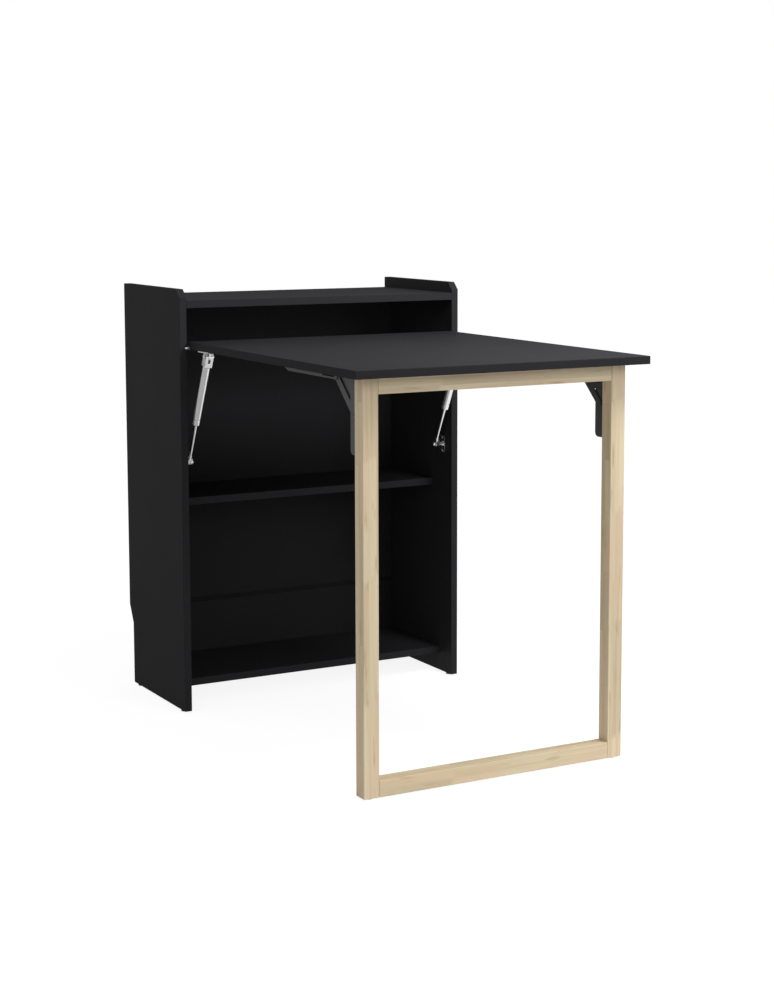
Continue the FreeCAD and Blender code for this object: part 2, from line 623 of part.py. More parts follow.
def gas_struts():
    """The gas struts: fork and hollow cylinder above, rod with piston and socket end below."""
    for side in MIRRORED:
        bore = "cylinder_radius - cylinder_wall"
        far = "-cylinder_reach"
        guide_top = "-cylinder_reach + guide_length"
        guide_bore = "rod_radius + pin_play"
        shell = turned(f"cylinder_{side}", (
            ("0", "-cylinder_top"), ("cylinder_radius - shoulder_round", "-cylinder_top"),
            ("cylinder_radius", "-cylinder_top - shoulder_round"),
            ("cylinder_radius", f"{far} + shoulder_round"), ("cylinder_radius - shoulder_round", far),
            (guide_bore, far), (guide_bore, guide_top),
            (bore, guide_top), (bore, "-cylinder_top - cylinder_end"), ("0", "-cylinder_top - cylinder_end"),
        ))
        keep(along_strut(shell, side), f"strut_cylinder_{side}")
        corners = (
            ("-fork_depth", "-cylinder_top"), ("fork_depth", "-cylinder_top"),
            ("fork_depth", "fork_crown"), ("-fork_depth", "fork_crown"),
        )
        block_body = profile_plate(f"fork_body_{side}", corners, "2 * fork_half", (),
                                   [("fork_depth - edge_break", corners[2:])])
        tilted(block_body, side, "fork_half")
        slot_corners = (
            ("-fork_depth - cut_overrun", "-fork_slot"), ("fork_depth + cut_overrun", "-fork_slot"),
            ("fork_depth + cut_overrun", "fork_crown + cut_overrun"),
            ("-fork_depth - cut_overrun", "fork_crown + cut_overrun"),
        )
        slot = profile_plate(f"fork_slot_{side}", slot_corners, "tongue_wall + 2 * face_play")
        tilted(slot, side, "tongue_wall / 2 + face_play")
        through = "2 * fork_half + 2 * cut_overrun"
        hole = rod(f"fork_hole_{side}", "strut_pin_radius + pin_play", through,
                   on_side(side, "strut_line + fork_half + cut_overrun", through),
                   "strut_top_y", "strut_top_z", "x")
        keep(cut(f"fork_cut_{side}", block_body, [slot, hole]), f"strut_fork_{side}")
        piston = f"{bore} - piston_play"
        piston_low = "-cylinder_reach + guide_length + piston_gap"
        rod_low = "rod_end_length - (strut_length)"
        bar = turned(f"rod_{side}", (
            ("0", rod_low), ("rod_radius", rod_low), ("rod_radius", piston_low), (piston, piston_low),
            (piston, f"{piston_low} + piston_length"), ("0", f"{piston_low} + piston_length"),
        ))
        keep(along_strut(bar, side), f"strut_rod_{side}")
        stem = turned(f"rod_end_stem_{side}", (
            ("0", "-(strut_length)"), ("rod_collar_radius", "-(strut_length)"),
            ("rod_collar_radius", rod_low), ("0", rod_low),
        ))
        along_strut(stem, side)
        foot, head = "-(strut_length) - rod_end_half", "-(strut_length) + rod_end_body"
        corners = (
            ("-rod_end_half", foot), ("rod_end_half", foot), ("rod_end_half", head), ("-rod_end_half", head),
        )
        socket = profile_plate(f"rod_end_socket_{side}", corners, "rod_end_width", (),
                               [("rod_end_half - edge_break", corners[:2])])
        tilted(socket, side, "rod_end_width / 2")
        keep(joined(f"rod_end_joined_{side}", [stem, socket]), f"strut_rod_end_{side}")


def table_arms():
    """Angle-section arms under the desk top: slotted web, gusset at the leg, tapered tip."""
    screws, pins = [], []
    for side in MIRRORED:
        tip = "arm_front + arm_length"
        low = "desk_under - arm_height"
        gusset_low = "leg_pivot_z - gusset_drop"
        corners = (
            ("arm_front", gusset_low), (along_brace(gusset_low), gusset_low), (along_brace(low), low),
            (f"{tip} - arm_taper", low), (tip, "desk_under - arm_tip"), (tip, "desk_under"),
            ("arm_front", "desk_under"),
        )
        rounds = [("gusset_round", [("arm_front", gusset_low)])]
        web = profile_plate(f"table_arm_web_{side}", corners, "arm_wall",
                            [("leg_pivot_y", "leg_pivot_z", "leg_pin_radius + bore_play")], rounds)
        place(web, on_side(side, "arm_outer", "arm_wall"))
        flange = block(f"table_arm_flange_{side}", on_side(side, "arm_outer", "arm_flange"),
                       "arm_front", "desk_under - arm_wall", "arm_flange",
                       "arm_length - arm_taper", "arm_wall")
        depth = "arm_wall + 2 * cut_overrun"
        slot = block(f"table_arm_slot_{side}", on_side(side, "arm_outer + cut_overrun", depth),
                     "brace_top_y - slot_margin", "brace_top_z - slot_height / 2",
                     depth, "slot_run + 2 * slot_margin", "slot_height")
        x = on_side(side, "arm_screw_line", "0")
        tools = [slot]
        for number, y in enumerate(arm_screw_shares()):
            tools.append(rod(f"table_arm_hole_{side}_{number}", "plate_bore", depth, x, y,
                             "desk_under - arm_wall - cut_overrun"))
            screws.append(under_screw(f"table_arm_screw_{side}_{number}", x, y, "desk_under - arm_wall"))
        angle = joined(f"table_arm_joined_{side}", [web, flange])
        keep(cut(f"table_arm_cut_{side}", angle, tools), f"table_arm_{side}")
        pins.append(leg_pin(side))
    keep(group("table_arm_screws", screws), "table_arm_screws")
    keep(group("leg_pivot_pins", pins), "leg_pivot_pins")


def along_brace(height):
    """Where the middle line of a brace passes a height."""
    return f"brace_foot_y + (({height}) - (brace_foot_z)) * (brace_run_y) / (brace_run_z)"


def leg_pin(side):
    """The shouldered rivet that joins an arm's gusset to the plate on the leg."""
    y, z = "leg_pivot_y", "leg_pivot_z"
    spacer_length = "brace_wall + face_play"
    through = "2 * arm_wall + brace_wall + 3 * face_play"
    parts = [
        rod(f"leg_pin_shank_{side}", "leg_pin_radius", through,
            on_side(side, "leg_plate_outer + face_play", through), y, z, "x"),
        rod(f"leg_pin_spacer_{side}", "leg_pin_head_radius - edge_break", spacer_length,
            on_side(side, f"arm_outer + {spacer_length}", spacer_length), y, z, "x"),
        rod(f"leg_pin_outer_head_{side}", "leg_pin_head_radius", "pin_head",
            on_side(side, "leg_plate_outer + face_play + pin_head", "pin_head"), y, z, "x"),
        rod(f"leg_pin_inner_head_{side}", "leg_pin_head_radius", "pin_head",
            on_side(side, "arm_outer - arm_wall", "pin_head"), y, z, "x"),
    ]
    return joined(f"leg_pin_{side}", parts)


def braces():
    """Flat links that hold each leg square: riveted to the leg's plate, sliding in the arm's slot."""
    for side in MIRRORED:
        body = doc.addObject("PartDesign::Body", f"brace_{side}_link")
        sketch = sketch_on(body, f"brace_{side}_outline", "YZ_Plane")
        half = "brace_half_width"
        draw_outline(sketch, ((f"-{half}", f"-{half}"), (f"brace_length + {half}", f"-{half}"),
                              (f"brace_length + {half}", half), (f"-{half}", half)))
        draw_circle(sketch, "0", "0", "brace_pin_radius + pin_play")
        pad = body.newObject("PartDesign::Pad", f"brace_{side}_pad")
        pad.Profile = sketch
        bind(pad, Length="brace_wall")
        sketch.Visibility = False
        doc.recompute()
        fillet = body.newObject("PartDesign::Fillet", f"brace_{side}_round")
        ends = [(measure(u), measure(v)) for u in (f"-{half}", f"brace_length + {half}")
                for v in (f"-{half}", half)]
        fillet.Base = (pad, edges_through(pad.Shape, ends, measure("face_play")))
        bind(fillet, Radius="brace_half_width - edge_break / 2")
        body.Tip = fillet
        place(body, on_side(side, "brace_outer", "brace_wall"), "brace_foot_y", "brace_foot_z", "1; 0; 0",
              "atan2(brace_run_z; brace_run_y)")
        head = rod(f"brace_head_{side}", "brace_half_width - edge_break", "pin_head",
                   on_side(side, "brace_outer + pin_head", "pin_head"), "brace_top_y", "brace_top_z", "x")
        keep(joined(f"brace_{side}_joined", [body, head]), f"brace_{side}")


def leg_plates():
    """Angle plates on the back of the legs that turn on the arms' gussets and carry the braces."""
    screws, pins = [], []
    for side in MIRRORED:
        rear, front = "leg_pivot_y + leg_plate_rear", "leg_rear"
        bottom = "leg_pivot_z - leg_plate_bottom"
        corners = (
            (front, bottom), (rear, bottom), (rear, "leg_pivot_z + leg_plate_top"),
            (front, "leg_pivot_z + leg_plate_top"),
        )
        holes = [("leg_pivot_y", "leg_pivot_z", "leg_pin_radius + pin_play"),
                 ("brace_foot_y", "brace_foot_z", "brace_pin_radius + bore_play")]
        rounds = [("leg_plate_round", [(rear, bottom)]),
                  ("leg_plate_crown", [(rear, "leg_pivot_z + leg_plate_top")])]
        web = profile_plate(f"leg_arm_web_{side}", corners, "arm_wall", holes, rounds)
        place(web, on_side(side, "leg_plate_outer", "arm_wall"))
        flange_top = "leg_pivot_z - leg_plate_flange_top"
        width = "leg_plate_flange + arm_wall"
        flange = block(f"leg_arm_flange_{side}", on_side(side, "leg_plate_outer + leg_plate_flange", width),
                       "leg_rear", bottom, width, "arm_wall", f"{flange_top} - ({bottom})")
        x = on_side(side, "leg_plate_outer + leg_plate_flange / 2", "0")
        tools = []
        for number, z in enumerate(leg_screw_heights()):
            tools.append(rod(f"leg_arm_hole_{side}_{number}", "plate_bore", "arm_wall + 2 * cut_overrun", x,
                             "leg_rear - cut_overrun", z, "y"))
            shank = rod(f"leg_screw_shank_{side}_{number}", "screw_radius", "screw_length", x,
                        "leg_rear + arm_wall - screw_length", z, "y")
            head = rod(f"leg_screw_head_{side}_{number}", "screw_head_radius", "screw_head", x,
                       "leg_rear + arm_wall", z, "y")
            screws.append(joined(f"leg_screw_{side}_{number}", [shank, head]))
        angle = joined(f"leg_arm_joined_{side}", [web, flange])
        keep(cut(f"leg_arm_cut_{side}", angle, tools), f"leg_arm_{side}")
        length = "brace_wall + face_play + arm_wall"
        shank = rod(f"brace_pin_shank_{side}", "brace_pin_radius", length,
                    on_side(side, "leg_plate_outer", length), "brace_foot_y", "brace_foot_z", "x")
        head = rod(f"brace_pin_head_{side}", "brace_half_width - edge_break", "pin_head",
                   on_side(side, "leg_plate_outer + pin_head", "pin_head"),
                   "brace_foot_y", "brace_foot_z", "x")
        pins.append(joined(f"brace_pin_{side}", [shank, head]))
    keep(group("leg_arm_screws", screws), "leg_arm_screws")
    keep(group("brace_pins", pins), "brace_pins")


def leg_screw_heights():
    """Heights of the three screws in the flange on a leg, as shares of its length."""
    height_shares = (0.12, 0.5, 0.88)
    run = "(leg_plate_bottom - leg_plate_flange_top)"
    return [f"leg_pivot_z - leg_plate_flange_top - {share} * {run}" for share in height_shares]


def leg_frame():
    """Two square legs with a rail between them at the top and at the bottom, dowelled together."""
    rails = (("frame_bottom_rail", "leg_glide_height"), ("frame_top_rail", "leg_top - stick"))
    pegs = []
    for side in MIRRORED:
        stick = block(f"leg_{side}_stick", on_side(side, "leg_outer", "stick"), "leg_front",
                      "leg_glide_height", "stick", "stick", "leg_top - leg_glide_height")
        tools = []
        for rail, low in rails:
            for number, share in enumerate(("stick / 3", "2 * stick / 3")):
                y, z = f"leg_front + {share}", f"{low} + stick / 2"
                depth = "rail_dowel_half / 2 + bore_end_play"
                low_x = on_side(side, f"leg_inner + {depth}", f"{depth} + cut_overrun")
                tools.append(rod(f"leg_{side}_{rail}_bore_{number}", "dowel_radius + bore_play",
                                 f"{depth} + cut_overrun", low_x, y, z, "x"))
                length = "3 * rail_dowel_half / 2"
                low_x = on_side(side, "leg_inner + rail_dowel_half / 2", length)
                pegs.append(rod(f"rail_peg_{side}_{rail}_{number}", "dowel_radius", length,
                                low_x, y, z, "x"))
        x = on_side(side, "leg_plate_outer + leg_plate_flange / 2", "0")
        for number, z in enumerate(leg_screw_heights()):
            tools.append(rod(f"leg_{side}_pilot_{number}", "plate_bore", "screw_length + bore_end_play",
                             x, "leg_rear + arm_wall - screw_length - bore_end_play", z, "y"))
        keep(cut(f"leg_{side}_cut", stick, tools), f"leg_{side}")
    for rail, low in rails:
        bar = block(rail + "_stick", "-(leg_inner)", "leg_front", low, "2 * (leg_inner)", "stick", "stick")
        tools = []
        for side in MIRRORED:
            for number, share in enumerate(("stick / 3", "2 * stick / 3")):
                depth = "rail_dowel_half + bore_end_play"
                length = f"{depth} + cut_overrun"
                tools.append(rod(f"{rail}_{side}_bore_{number}", "dowel_radius + bore_play", length,
                                 on_side(side, "leg_inner + cut_overrun", length),
                                 f"leg_front + {share}", f"{low} + stick / 2", "x"))
        keep(cut(rail + "_cut", bar, tools), rail)
    keep(group("frame_dowels", pegs), "frame_dowels")
    glides = []
    for side in MIRRORED:
        x = on_side(side, "leg_outer - stick / 2", "0")
        glides.append(rod(f"leg_glide_{side}", "leg_glide_radius", "leg_glide_height", x,
                          "leg_front + stick / 2", "0"))
    keep(group("leg_glides", glides), "leg_glides")


for name in MIRRORED:
    side_panel(name)
for row in shelf_rows():
    shelf(row)
shelf_fittings()
back()
cabinet_glides()
pivot_plates()
strut_feet()
desk_top()
pivot_pins()
strut_brackets()
gas_struts()
table_arms()
leg_plates()
braces()
leg_frame()
doc.recompute()

for thing in doc.Objects:
    if "Invalid" in thing.State or "Error" in thing.State:
        raise RuntimeError(f"{thing.Name} failed: {thing.State}")
for thing in nodes:
    if thing.Shape.isNull() or not thing.Shape.isValid() or not thing.Shape.Solids:
        raise RuntimeError(f"{thing.Label} has no valid solid")

os.makedirs("parts", exist_ok=True)
for thing in nodes:
    thing.Shape.exportStep(os.path.join("parts", thing.Label + ".step"))
    print(thing.Label, len(thing.Shape.Solids), round(thing.Shape.Volume))
print("nodes", len(nodes))
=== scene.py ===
"""Looks of the folding desk: eased boards, pale jointed wood, zinc struts and black steel brackets.

Everything is in metres in the part's own frame: +Z up, the cabinet at +Y, the sitter's end at -Y.
"""
import json
import logging
import math
from collections.abc import Iterable, Sequence
from dataclasses import dataclass
from enum import Enum

import bmesh
import bpy
from mathutils import Matrix, Vector

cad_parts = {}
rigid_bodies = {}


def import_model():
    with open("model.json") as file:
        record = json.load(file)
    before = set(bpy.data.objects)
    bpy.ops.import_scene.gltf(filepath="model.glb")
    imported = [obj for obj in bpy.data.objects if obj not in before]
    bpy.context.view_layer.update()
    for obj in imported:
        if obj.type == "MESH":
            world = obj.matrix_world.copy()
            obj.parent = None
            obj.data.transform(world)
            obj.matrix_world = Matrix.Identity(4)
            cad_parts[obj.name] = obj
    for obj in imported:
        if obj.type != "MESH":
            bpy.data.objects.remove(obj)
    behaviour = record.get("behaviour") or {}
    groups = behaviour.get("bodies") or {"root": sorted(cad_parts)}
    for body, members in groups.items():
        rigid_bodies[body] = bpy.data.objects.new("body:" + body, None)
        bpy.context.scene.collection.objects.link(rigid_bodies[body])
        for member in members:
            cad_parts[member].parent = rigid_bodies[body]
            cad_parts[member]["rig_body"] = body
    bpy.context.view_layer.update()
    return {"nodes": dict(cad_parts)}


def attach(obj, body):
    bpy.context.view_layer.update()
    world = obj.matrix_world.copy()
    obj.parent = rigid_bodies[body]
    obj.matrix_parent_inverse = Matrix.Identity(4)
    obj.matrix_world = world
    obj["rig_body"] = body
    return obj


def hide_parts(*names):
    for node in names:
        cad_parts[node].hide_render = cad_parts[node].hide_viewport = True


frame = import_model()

NODES: dict[str, bpy.types.Object] = frame["nodes"]
LOG = logging.getLogger("folding_desk")
SIDES: dict[str, int] = {"left": -1, "right": 1}
WELD: float = 2e-6
FLAT: float = math.radians(0.6)
CREASE: float = math.radians(40.0)


class Grain(Enum):
    """The way that the grain of a stick runs."""

    UPRIGHT = "Z"
    ACROSS = "X"


class Slot(Enum):
    """The record's material slots."""

    BOARD = "black_board"
    SHEET = "black_sheet"
    PLASTIC = "black_plastic"
    DOWEL = "dowel_wood"
    ZINC = "zinc_alloy"
    SCREW = "screw_steel"
    TUBE = "strut_tube"
    CHROME = "rod_chrome"
    STEEL = "black_steel"
    WOOD = "pale_wood"


class Nodes:
    """A node tree, with short calls that add and join nodes."""

    def __init__(self, tree: bpy.types.NodeTree) -> None:
        """Empties a tree.

        Args:
            tree: The tree that the nodes go in.
        """
        self.tree = tree
        self.tree.nodes.clear()

    def add(self, kind: str) -> bpy.types.Node:
        """Adds a node.

        Args:
            kind: The kind of shader node.

        Returns:
            The node.
        """
        return self.tree.nodes.new(f"ShaderNode{kind}")

    def feed(self, socket: bpy.types.NodeSocket, value: object) -> None:
        """Links a socket to another, or sets its value.

        Args:
            socket: The input to fill.
            value: An output socket, a number or a tuple.
        """
        if isinstance(value, bpy.types.NodeSocket):
            self.tree.links.new(value, socket)
        else:
            socket.default_value = value

    def calc(self, kind: str, a: object, b: object = 0.0) -> bpy.types.NodeSocket:
        """One sum.

        Args:
            kind: The operation's name.
            a: The first operand.
            b: The second operand.

        Returns:
            The result.
        """
        node = self.add("Math")
        node.operation = kind
        for socket, value in zip(node.inputs, (a, b)):
            self.feed(socket, value)
        return node.outputs["Value"]

    def spread(self, value: bpy.types.NodeSocket, low: float, high: float, start: float,
               end: float) -> bpy.types.NodeSocket:
        """Maps a value's range to another range, clamped.

        Args:
            value: The value.
            low: The result at the range's start.
            high: The result at its end.
            start: The range's start.
            end: The range's end.

        Returns:
            The mapped value.
        """
        node = self.add("MapRange")
        for name, item in (("Value", value), ("From Min", start), ("From Max", end),
                           ("To Min", low), ("To Max", high)):
            self.feed(node.inputs[name], item)
        return node.outputs["Result"]

    def pick(self, share: object, a: object, b: object) -> bpy.types.NodeSocket:
        """Two numbers mixed.

        Args:
            share: The second number's share.
            a: The first number.
            b: The second number.

        Returns:
            The mixed number.
        """
        node = self.add("Mix")
        for number, value in ((0, share), (2, a), (3, b)):
            self.feed(node.inputs[number], value)
        return node.outputs[0]

    def split(self, vector: bpy.types.NodeSocket) -> tuple[bpy.types.NodeSocket, ...]:
        """The parts of a vector.

        Args:
            vector: The vector.

        Returns:
            Its X, Y and Z.
        """
        node = self.add("SeparateXYZ")
        self.feed(node.inputs["Vector"], vector)
        return tuple(node.outputs)

    def joined(self, *parts: object) -> bpy.types.NodeSocket:
        """A vector from its parts.

        Args:
            parts: Its X, Y and Z.

        Returns:
            The vector.
        """
        node = self.add("CombineXYZ")
        for socket, value in zip(node.inputs, parts):
            self.feed(socket, value)
        return node.outputs["Vector"]


class Recipe(Nodes):
    """A material's node tree round a principled shader."""

    def __init__(self, name: str) -> None:
        """Starts a material.

        Args:
            name: The material's name.
        """
        self.material = bpy.data.materials.new(name)
        self.material.use_nodes = True
        super().__init__(self.material.node_tree)
        self.shader = self.add("BsdfPrincipled")
        self.feed(self.add("OutputMaterial").inputs["Surface"], self.shader.outputs["BSDF"])
        self.place = self.add("TexCoord").outputs["Object"]

    def scaled(self, scale: Sequence[float], shift: Sequence[float] = (0, 0, 0)) -> bpy.types.NodeSocket:
        """The object's coordinates, scaled and shifted.

        Args:
            scale: Factors along X, Y and Z.
            shift: What is added after the scaling.

        Returns:
            The scaled coordinates.
        """
        node = self.add("Mapping")
        self.feed(node.inputs["Vector"], self.place)
        node.inputs["Scale"].default_value = scale
        node.inputs["Location"].default_value = shift
        return node.outputs["Vector"]

    def noise(self, where: bpy.types.NodeSocket, scale: float, detail: float,
              roughness: float = 0.5) -> bpy.types.NodeSocket:
        """A noise pattern.

        Args:
            where: The coordinates that it is read at.
            scale: Its cycles per unit of them.
            detail: Its number of octaves.
            roughness: How strong the finer octaves are.

        Returns:
            The noise, from 0 to 1.
        """
        node = self.add("TexNoise")
        self.feed(node.inputs["Vector"], where)
        node.inputs["Scale"].default_value = scale
        node.inputs["Detail"].default_value = detail
        node.inputs["Roughness"].default_value = roughness
        return node.outputs["Fac"]

    def blend(self, share: object, a: object, b: object, kind: str = "MIX") -> bpy.types.NodeSocket:
        """Two colours mixed.

        Args:
            share: The second colour's share.
            a: The first colour.
            b: The second colour.
            kind: The way that they are mixed.

        Returns:
            The mixed colour.
        """
        node = self.add("Mix")
        node.data_type = "RGBA"
        node.blend_type = kind
        for number, value in ((0, share), (6, a), (7, b)):
            self.feed(node.inputs[number], value)
        return node.outputs[2]

    def bump(self, height: bpy.types.NodeSocket, depth: float, strength: float) -> None:
        """Lets a height pattern tilt the surface.

        Args:
            height: The pattern.
            depth: Its depth in metres.
            strength: The share of it that shows.
        """
        node = self.add("Bump")
        node.inputs["Distance"].default_value = depth
        node.inputs["Strength"].default_value = strength
        self.feed(node.inputs["Height"], height)
        self.feed(self.shader.inputs["Normal"], node.outputs["Normal"])

    def show(self, **sockets: object) -> bpy.types.Material:
        """Fills the shader's sockets.

        Args:
            sockets: Values by socket name, with spaces written as underscores.

        Returns:
            The material.
        """
        for name, value in sockets.items():
            self.feed(self.shader.inputs[name.replace("_", " ")], value)
        return self.material


def tone(red: float, green: float, blue: float, level: float = 1.0) -> tuple[float, float, float, float]:
    """A colour with full cover.

    Args:
        red: Its linear share of red.
        green: Its linear share of green.
        blue: Its linear share of blue.
        level: A factor on all three.

    Returns:
        The colour.
    """
    return red * level, green * level, blue * level, 1.0


@dataclass(frozen=True)
class BoardFinish:
    """Matt black decor foil on chipboard, with a fine pearl emboss whose raised points carry a painted
    highlight, and faint handling marks.
    """

    name: str = "black decor board"
    colour: tuple[float, float, float] = (0.0190, 0.0187, 0.0207)
    sheen_low: float = 0.50
    sheen_high: float = 0.57
    pearl: float = 1500.0
    pearl_depth: float = 0.00004
    specular: float = 0.04
    cloud: float = 5.5
    wipe: tuple[float, float, float] = (3, 9, 5)
    wipe_shift: tuple[float, float, float] = (0.3, 0, 0.1)
    wipe_swing: float = 0.015
    # level of the painted highlight on the emboss's raised points
    painted_highlight_level: float = 1.6

    def make(self) -> bpy.types.Material:
        """Builds the material.

        Returns:
            The material.
        """
        recipe = Recipe(self.name)
        pearl = recipe.noise(recipe.place, self.pearl, 2, 0.6)
        patch = recipe.noise(recipe.place, self.cloud, 4, 0.62)
        wipe = recipe.noise(recipe.scaled(self.wipe, self.wipe_shift), 1.0, 2)
        shade = recipe.blend(recipe.spread(patch, 0, 1, 0.35, 0.65), tone(*self.colour, 0.95),
                             tone(*self.colour, 1.04))
        # painted highlight: the colour is lifted towards 1.6 times its level on the pearl emboss's raised
        # points
        painted_highlight = tone(*self.colour, self.painted_highlight_level)
        shade = recipe.blend(recipe.spread(pearl, 0, 0.35, 0.5, 0.75), shade, painted_highlight)
        rough = recipe.calc("ADD", recipe.spread(patch, self.sheen_low, self.sheen_high, 0.3, 0.7),
                            recipe.spread(wipe, -self.wipe_swing, self.wipe_swing, 0.3, 0.7))
        recipe.bump(pearl, self.pearl_depth, 0.6)
        return recipe.show(Base_Color=shade, Roughness=rough, Specular_IOR_Level=self.specular)


@dataclass(frozen=True)
class WoodFinish:
    """Pale finger-jointed sticks under clear matt lacquer."""

    grain: Grain
    name: str = "pale jointed wood"
    light: tuple[float, float, float] = (0.70, 0.605, 0.42)
    dark: tuple[float, float, float] = (0.56, 0.44, 0.275)
    warm: tuple[float, float, float] = (0.66, 0.475, 0.325)
    heart: tuple[float, float, float] = (0.40, 0.26, 0.14)
    lamella: float = 0.0152
    block: float = 0.21
    finger: float = 0.0042
    finger_length: float = 0.010
    fine: tuple[float, float] = (420.0, 9.0)
    broad: tuple[float, float] = (75.0, 2.6)
    cloud: tuple[float, float] = (34.0, 5.5)
    fleck: tuple[float, float] = (130.0, 13.0)
    off_edge: float = 0.0004
    strip_steps: tuple[float, float] = (3.17, 7.31)
    golden: float = 0.6180339
    block_shift: tuple[float, float, float] = (5.3, 3.9, 7.7)
    tint_share: float = 0.52
    seam: tuple[float, float, float] = (0.34, 0.22, 0.12)
    seam_share: float = 0.4
    seam_start: float = 0.4982
    pore_depth: float = 0.00012
    sheen: tuple[float, float] = (0.46, 0.6)
    specular: float = 0.4

    def drawn(self, scales: tuple[float, float]) -> tuple[float, float, float]:
        """Turns a pattern's scales the way of the grain.

        Args:
            scales: The scale across the grain and the scale along it.

        Returns:
            The scales along X, Y and Z.
        """
        across, along = scales
        return (across, across, along) if self.grain is Grain.UPRIGHT else (along, across, across)

    def blocks(self, recipe: Recipe) -> tuple[bpy.types.NodeSocket, bpy.types.NodeSocket]:
        """Lays out the finger-jointed blocks.

        Args:
            recipe: The material's tree.

        Returns:
            A vector that is the same all over one block, and the place along the block's strip, in blocks.
        """
        x, y, z = recipe.split(recipe.place)
        along, across = (z, x) if self.grain is Grain.UPRIGHT else (x, z)
        inside = recipe.calc("ADD", across, self.off_edge)
        strip_across = recipe.calc("FLOOR", recipe.calc("DIVIDE", inside, self.lamella))
        strip_deep = recipe.calc("FLOOR", recipe.calc("DIVIDE", y, self.lamella))
        strip = recipe.calc("ADD", recipe.calc("MULTIPLY", strip_across, self.strip_steps[0]),
                            recipe.calc("MULTIPLY", strip_deep, self.strip_steps[1]))
        share = recipe.calc("FRACT", recipe.calc("MULTIPLY", strip, self.golden))
        start = recipe.calc("MULTIPLY", share, self.block)
        zigzag = recipe.calc("MULTIPLY", recipe.calc("PINGPONG", across, self.finger / 2),
                             self.finger_length * 2 / self.finger)
        reach = recipe.calc("ADD", recipe.calc("ADD", along, start), zigzag)
        run = recipe.calc("DIVIDE", reach, self.block)
        return recipe.joined(strip_across, strip_deep, recipe.calc("FLOOR", run)), run

    def make(self) -> bpy.types.Material:
        """Builds the material.

        Returns:
            The material.
        """
        recipe = Recipe(f"{self.name} {self.grain.name.lower()}")
        block, run = self.blocks(recipe)
        chance = recipe.add("TexWhiteNoise")
        recipe.feed(chance.inputs["Vector"], block)
        offset = recipe.add("VectorMath")
        offset.operation = "MULTIPLY_ADD"
        grown = recipe.scaled(self.drawn(self.broad))
        for socket, value in zip(offset.inputs, (block, self.block_shift, grown)):
            recipe.feed(socket, value)
        rings = recipe.noise(offset.outputs["Vector"], 1.0, 4, 0.55)
        streak = recipe.noise(recipe.scaled(self.drawn(self.fine)), 1.0, 3, 0.65)
        blush = recipe.noise(recipe.scaled(self.drawn(self.cloud), (2.1, 4.7, 1.3)), 1.0, 2)
        mark = recipe.noise(recipe.scaled(self.drawn(self.fleck), (7.9, 0.4, 3.2)), 1.0, 2)
        shade = recipe.blend(recipe.spread(rings, 0, 0.8, 0.42, 0.72), tone(*self.light), tone(*self.dark))
        shade = recipe.blend(recipe.spread(streak, 0, 0.45, 0.52, 0.8), shade, tone(*self.dark))
        tint = recipe.blend(chance.outputs["Value"], tone(0.66, 0.61, 0.55), tone(1, 0.99, 0.97))
        shade = recipe.blend(self.tint_share, shade, tint, "MULTIPLY")
        shade = recipe.blend(recipe.spread(blush, 0, 0.64, 0.45, 0.68), shade, tone(*self.warm))
        shade = recipe.blend(recipe.spread(mark, 0, 0.6, 0.61, 0.74), shade, tone(*self.heart))
        centred = recipe.calc("ABSOLUTE", recipe.calc("SUBTRACT", recipe.calc("FRACT", run), 0.5))
        seam = recipe.calc("MULTIPLY", recipe.calc("GREATER_THAN", centred, self.seam_start), self.seam_share)
        shade = recipe.blend(seam, shade, tone(*self.seam))
        recipe.bump(streak, self.pore_depth, 0.35)
        rough = recipe.spread(rings, *self.sheen, 0.3, 0.7)
        return recipe.show(Base_Color=shade, Roughness=rough, Specular_IOR_Level=self.specular)


@dataclass(frozen=True)
class MetalFinish:
    """Plated, polished or lacquered metal."""

    name: str
    colour: tuple[float, float, float]
    rough_low: float
    rough_high: float
    grit: float = 900.0
    depth: float = 0.00001
    metallic: float = 1.0
    cloud: float = 160.0
    dulling: tuple[float, float, float] = (0.93, 0.93, 0.92)

    def make(self) -> bpy.types.Material:
        """Builds the material.

        Returns:
            The material.
        """
        recipe = Recipe(self.name)
        cloud = recipe.noise(recipe.place, self.cloud, 4, 0.6)
        grit = recipe.noise(recipe.place, self.grit, 2)
        dull = tone(*(full * share for full, share in zip(self.colour, self.dulling)))
        shade = recipe.blend(recipe.spread(cloud, 0, 1, 0.35, 0.65), dull, tone(*self.colour))
        rough = recipe.spread(cloud, self.rough_low, self.rough_high, 0.3, 0.7)
        recipe.bump(grit, self.depth, 0.5)
        return recipe.show(Base_Color=shade, Roughness=rough, Metallic=self.metallic)


@dataclass(frozen=True)
class CoatFinish:
    """A coloured coat or moulding: powder coat with orange peel, or matt plastic."""

    name: str
    colour: tuple[float, float, float]
    rough: float
    peel: float
    peel_depth: float
    specular: float = 0.5
    cloud: float = 30.0
    swing: float = 0.05

    def make(self) -> bpy.types.Material:
        """Builds the material.

        Returns:
            The material.
        """
        recipe = Recipe(self.name)
        peel = recipe.noise(recipe.place, self.peel, 2)
        patch = recipe.noise(recipe.place, self.cloud, 3)
        shade = recipe.blend(recipe.spread(patch, 0, 1, 0.3, 0.7), tone(*self.colour, 0.9),
                             tone(*self.colour, 1.12))
        recipe.bump(peel, self.peel_depth, 0.7)
        rough = recipe.spread(patch, self.rough - self.swing, self.rough + self.swing, 0.3, 0.7)
        return recipe.show(Base_Color=shade, Roughness=rough, Specular_IOR_Level=self.specular)


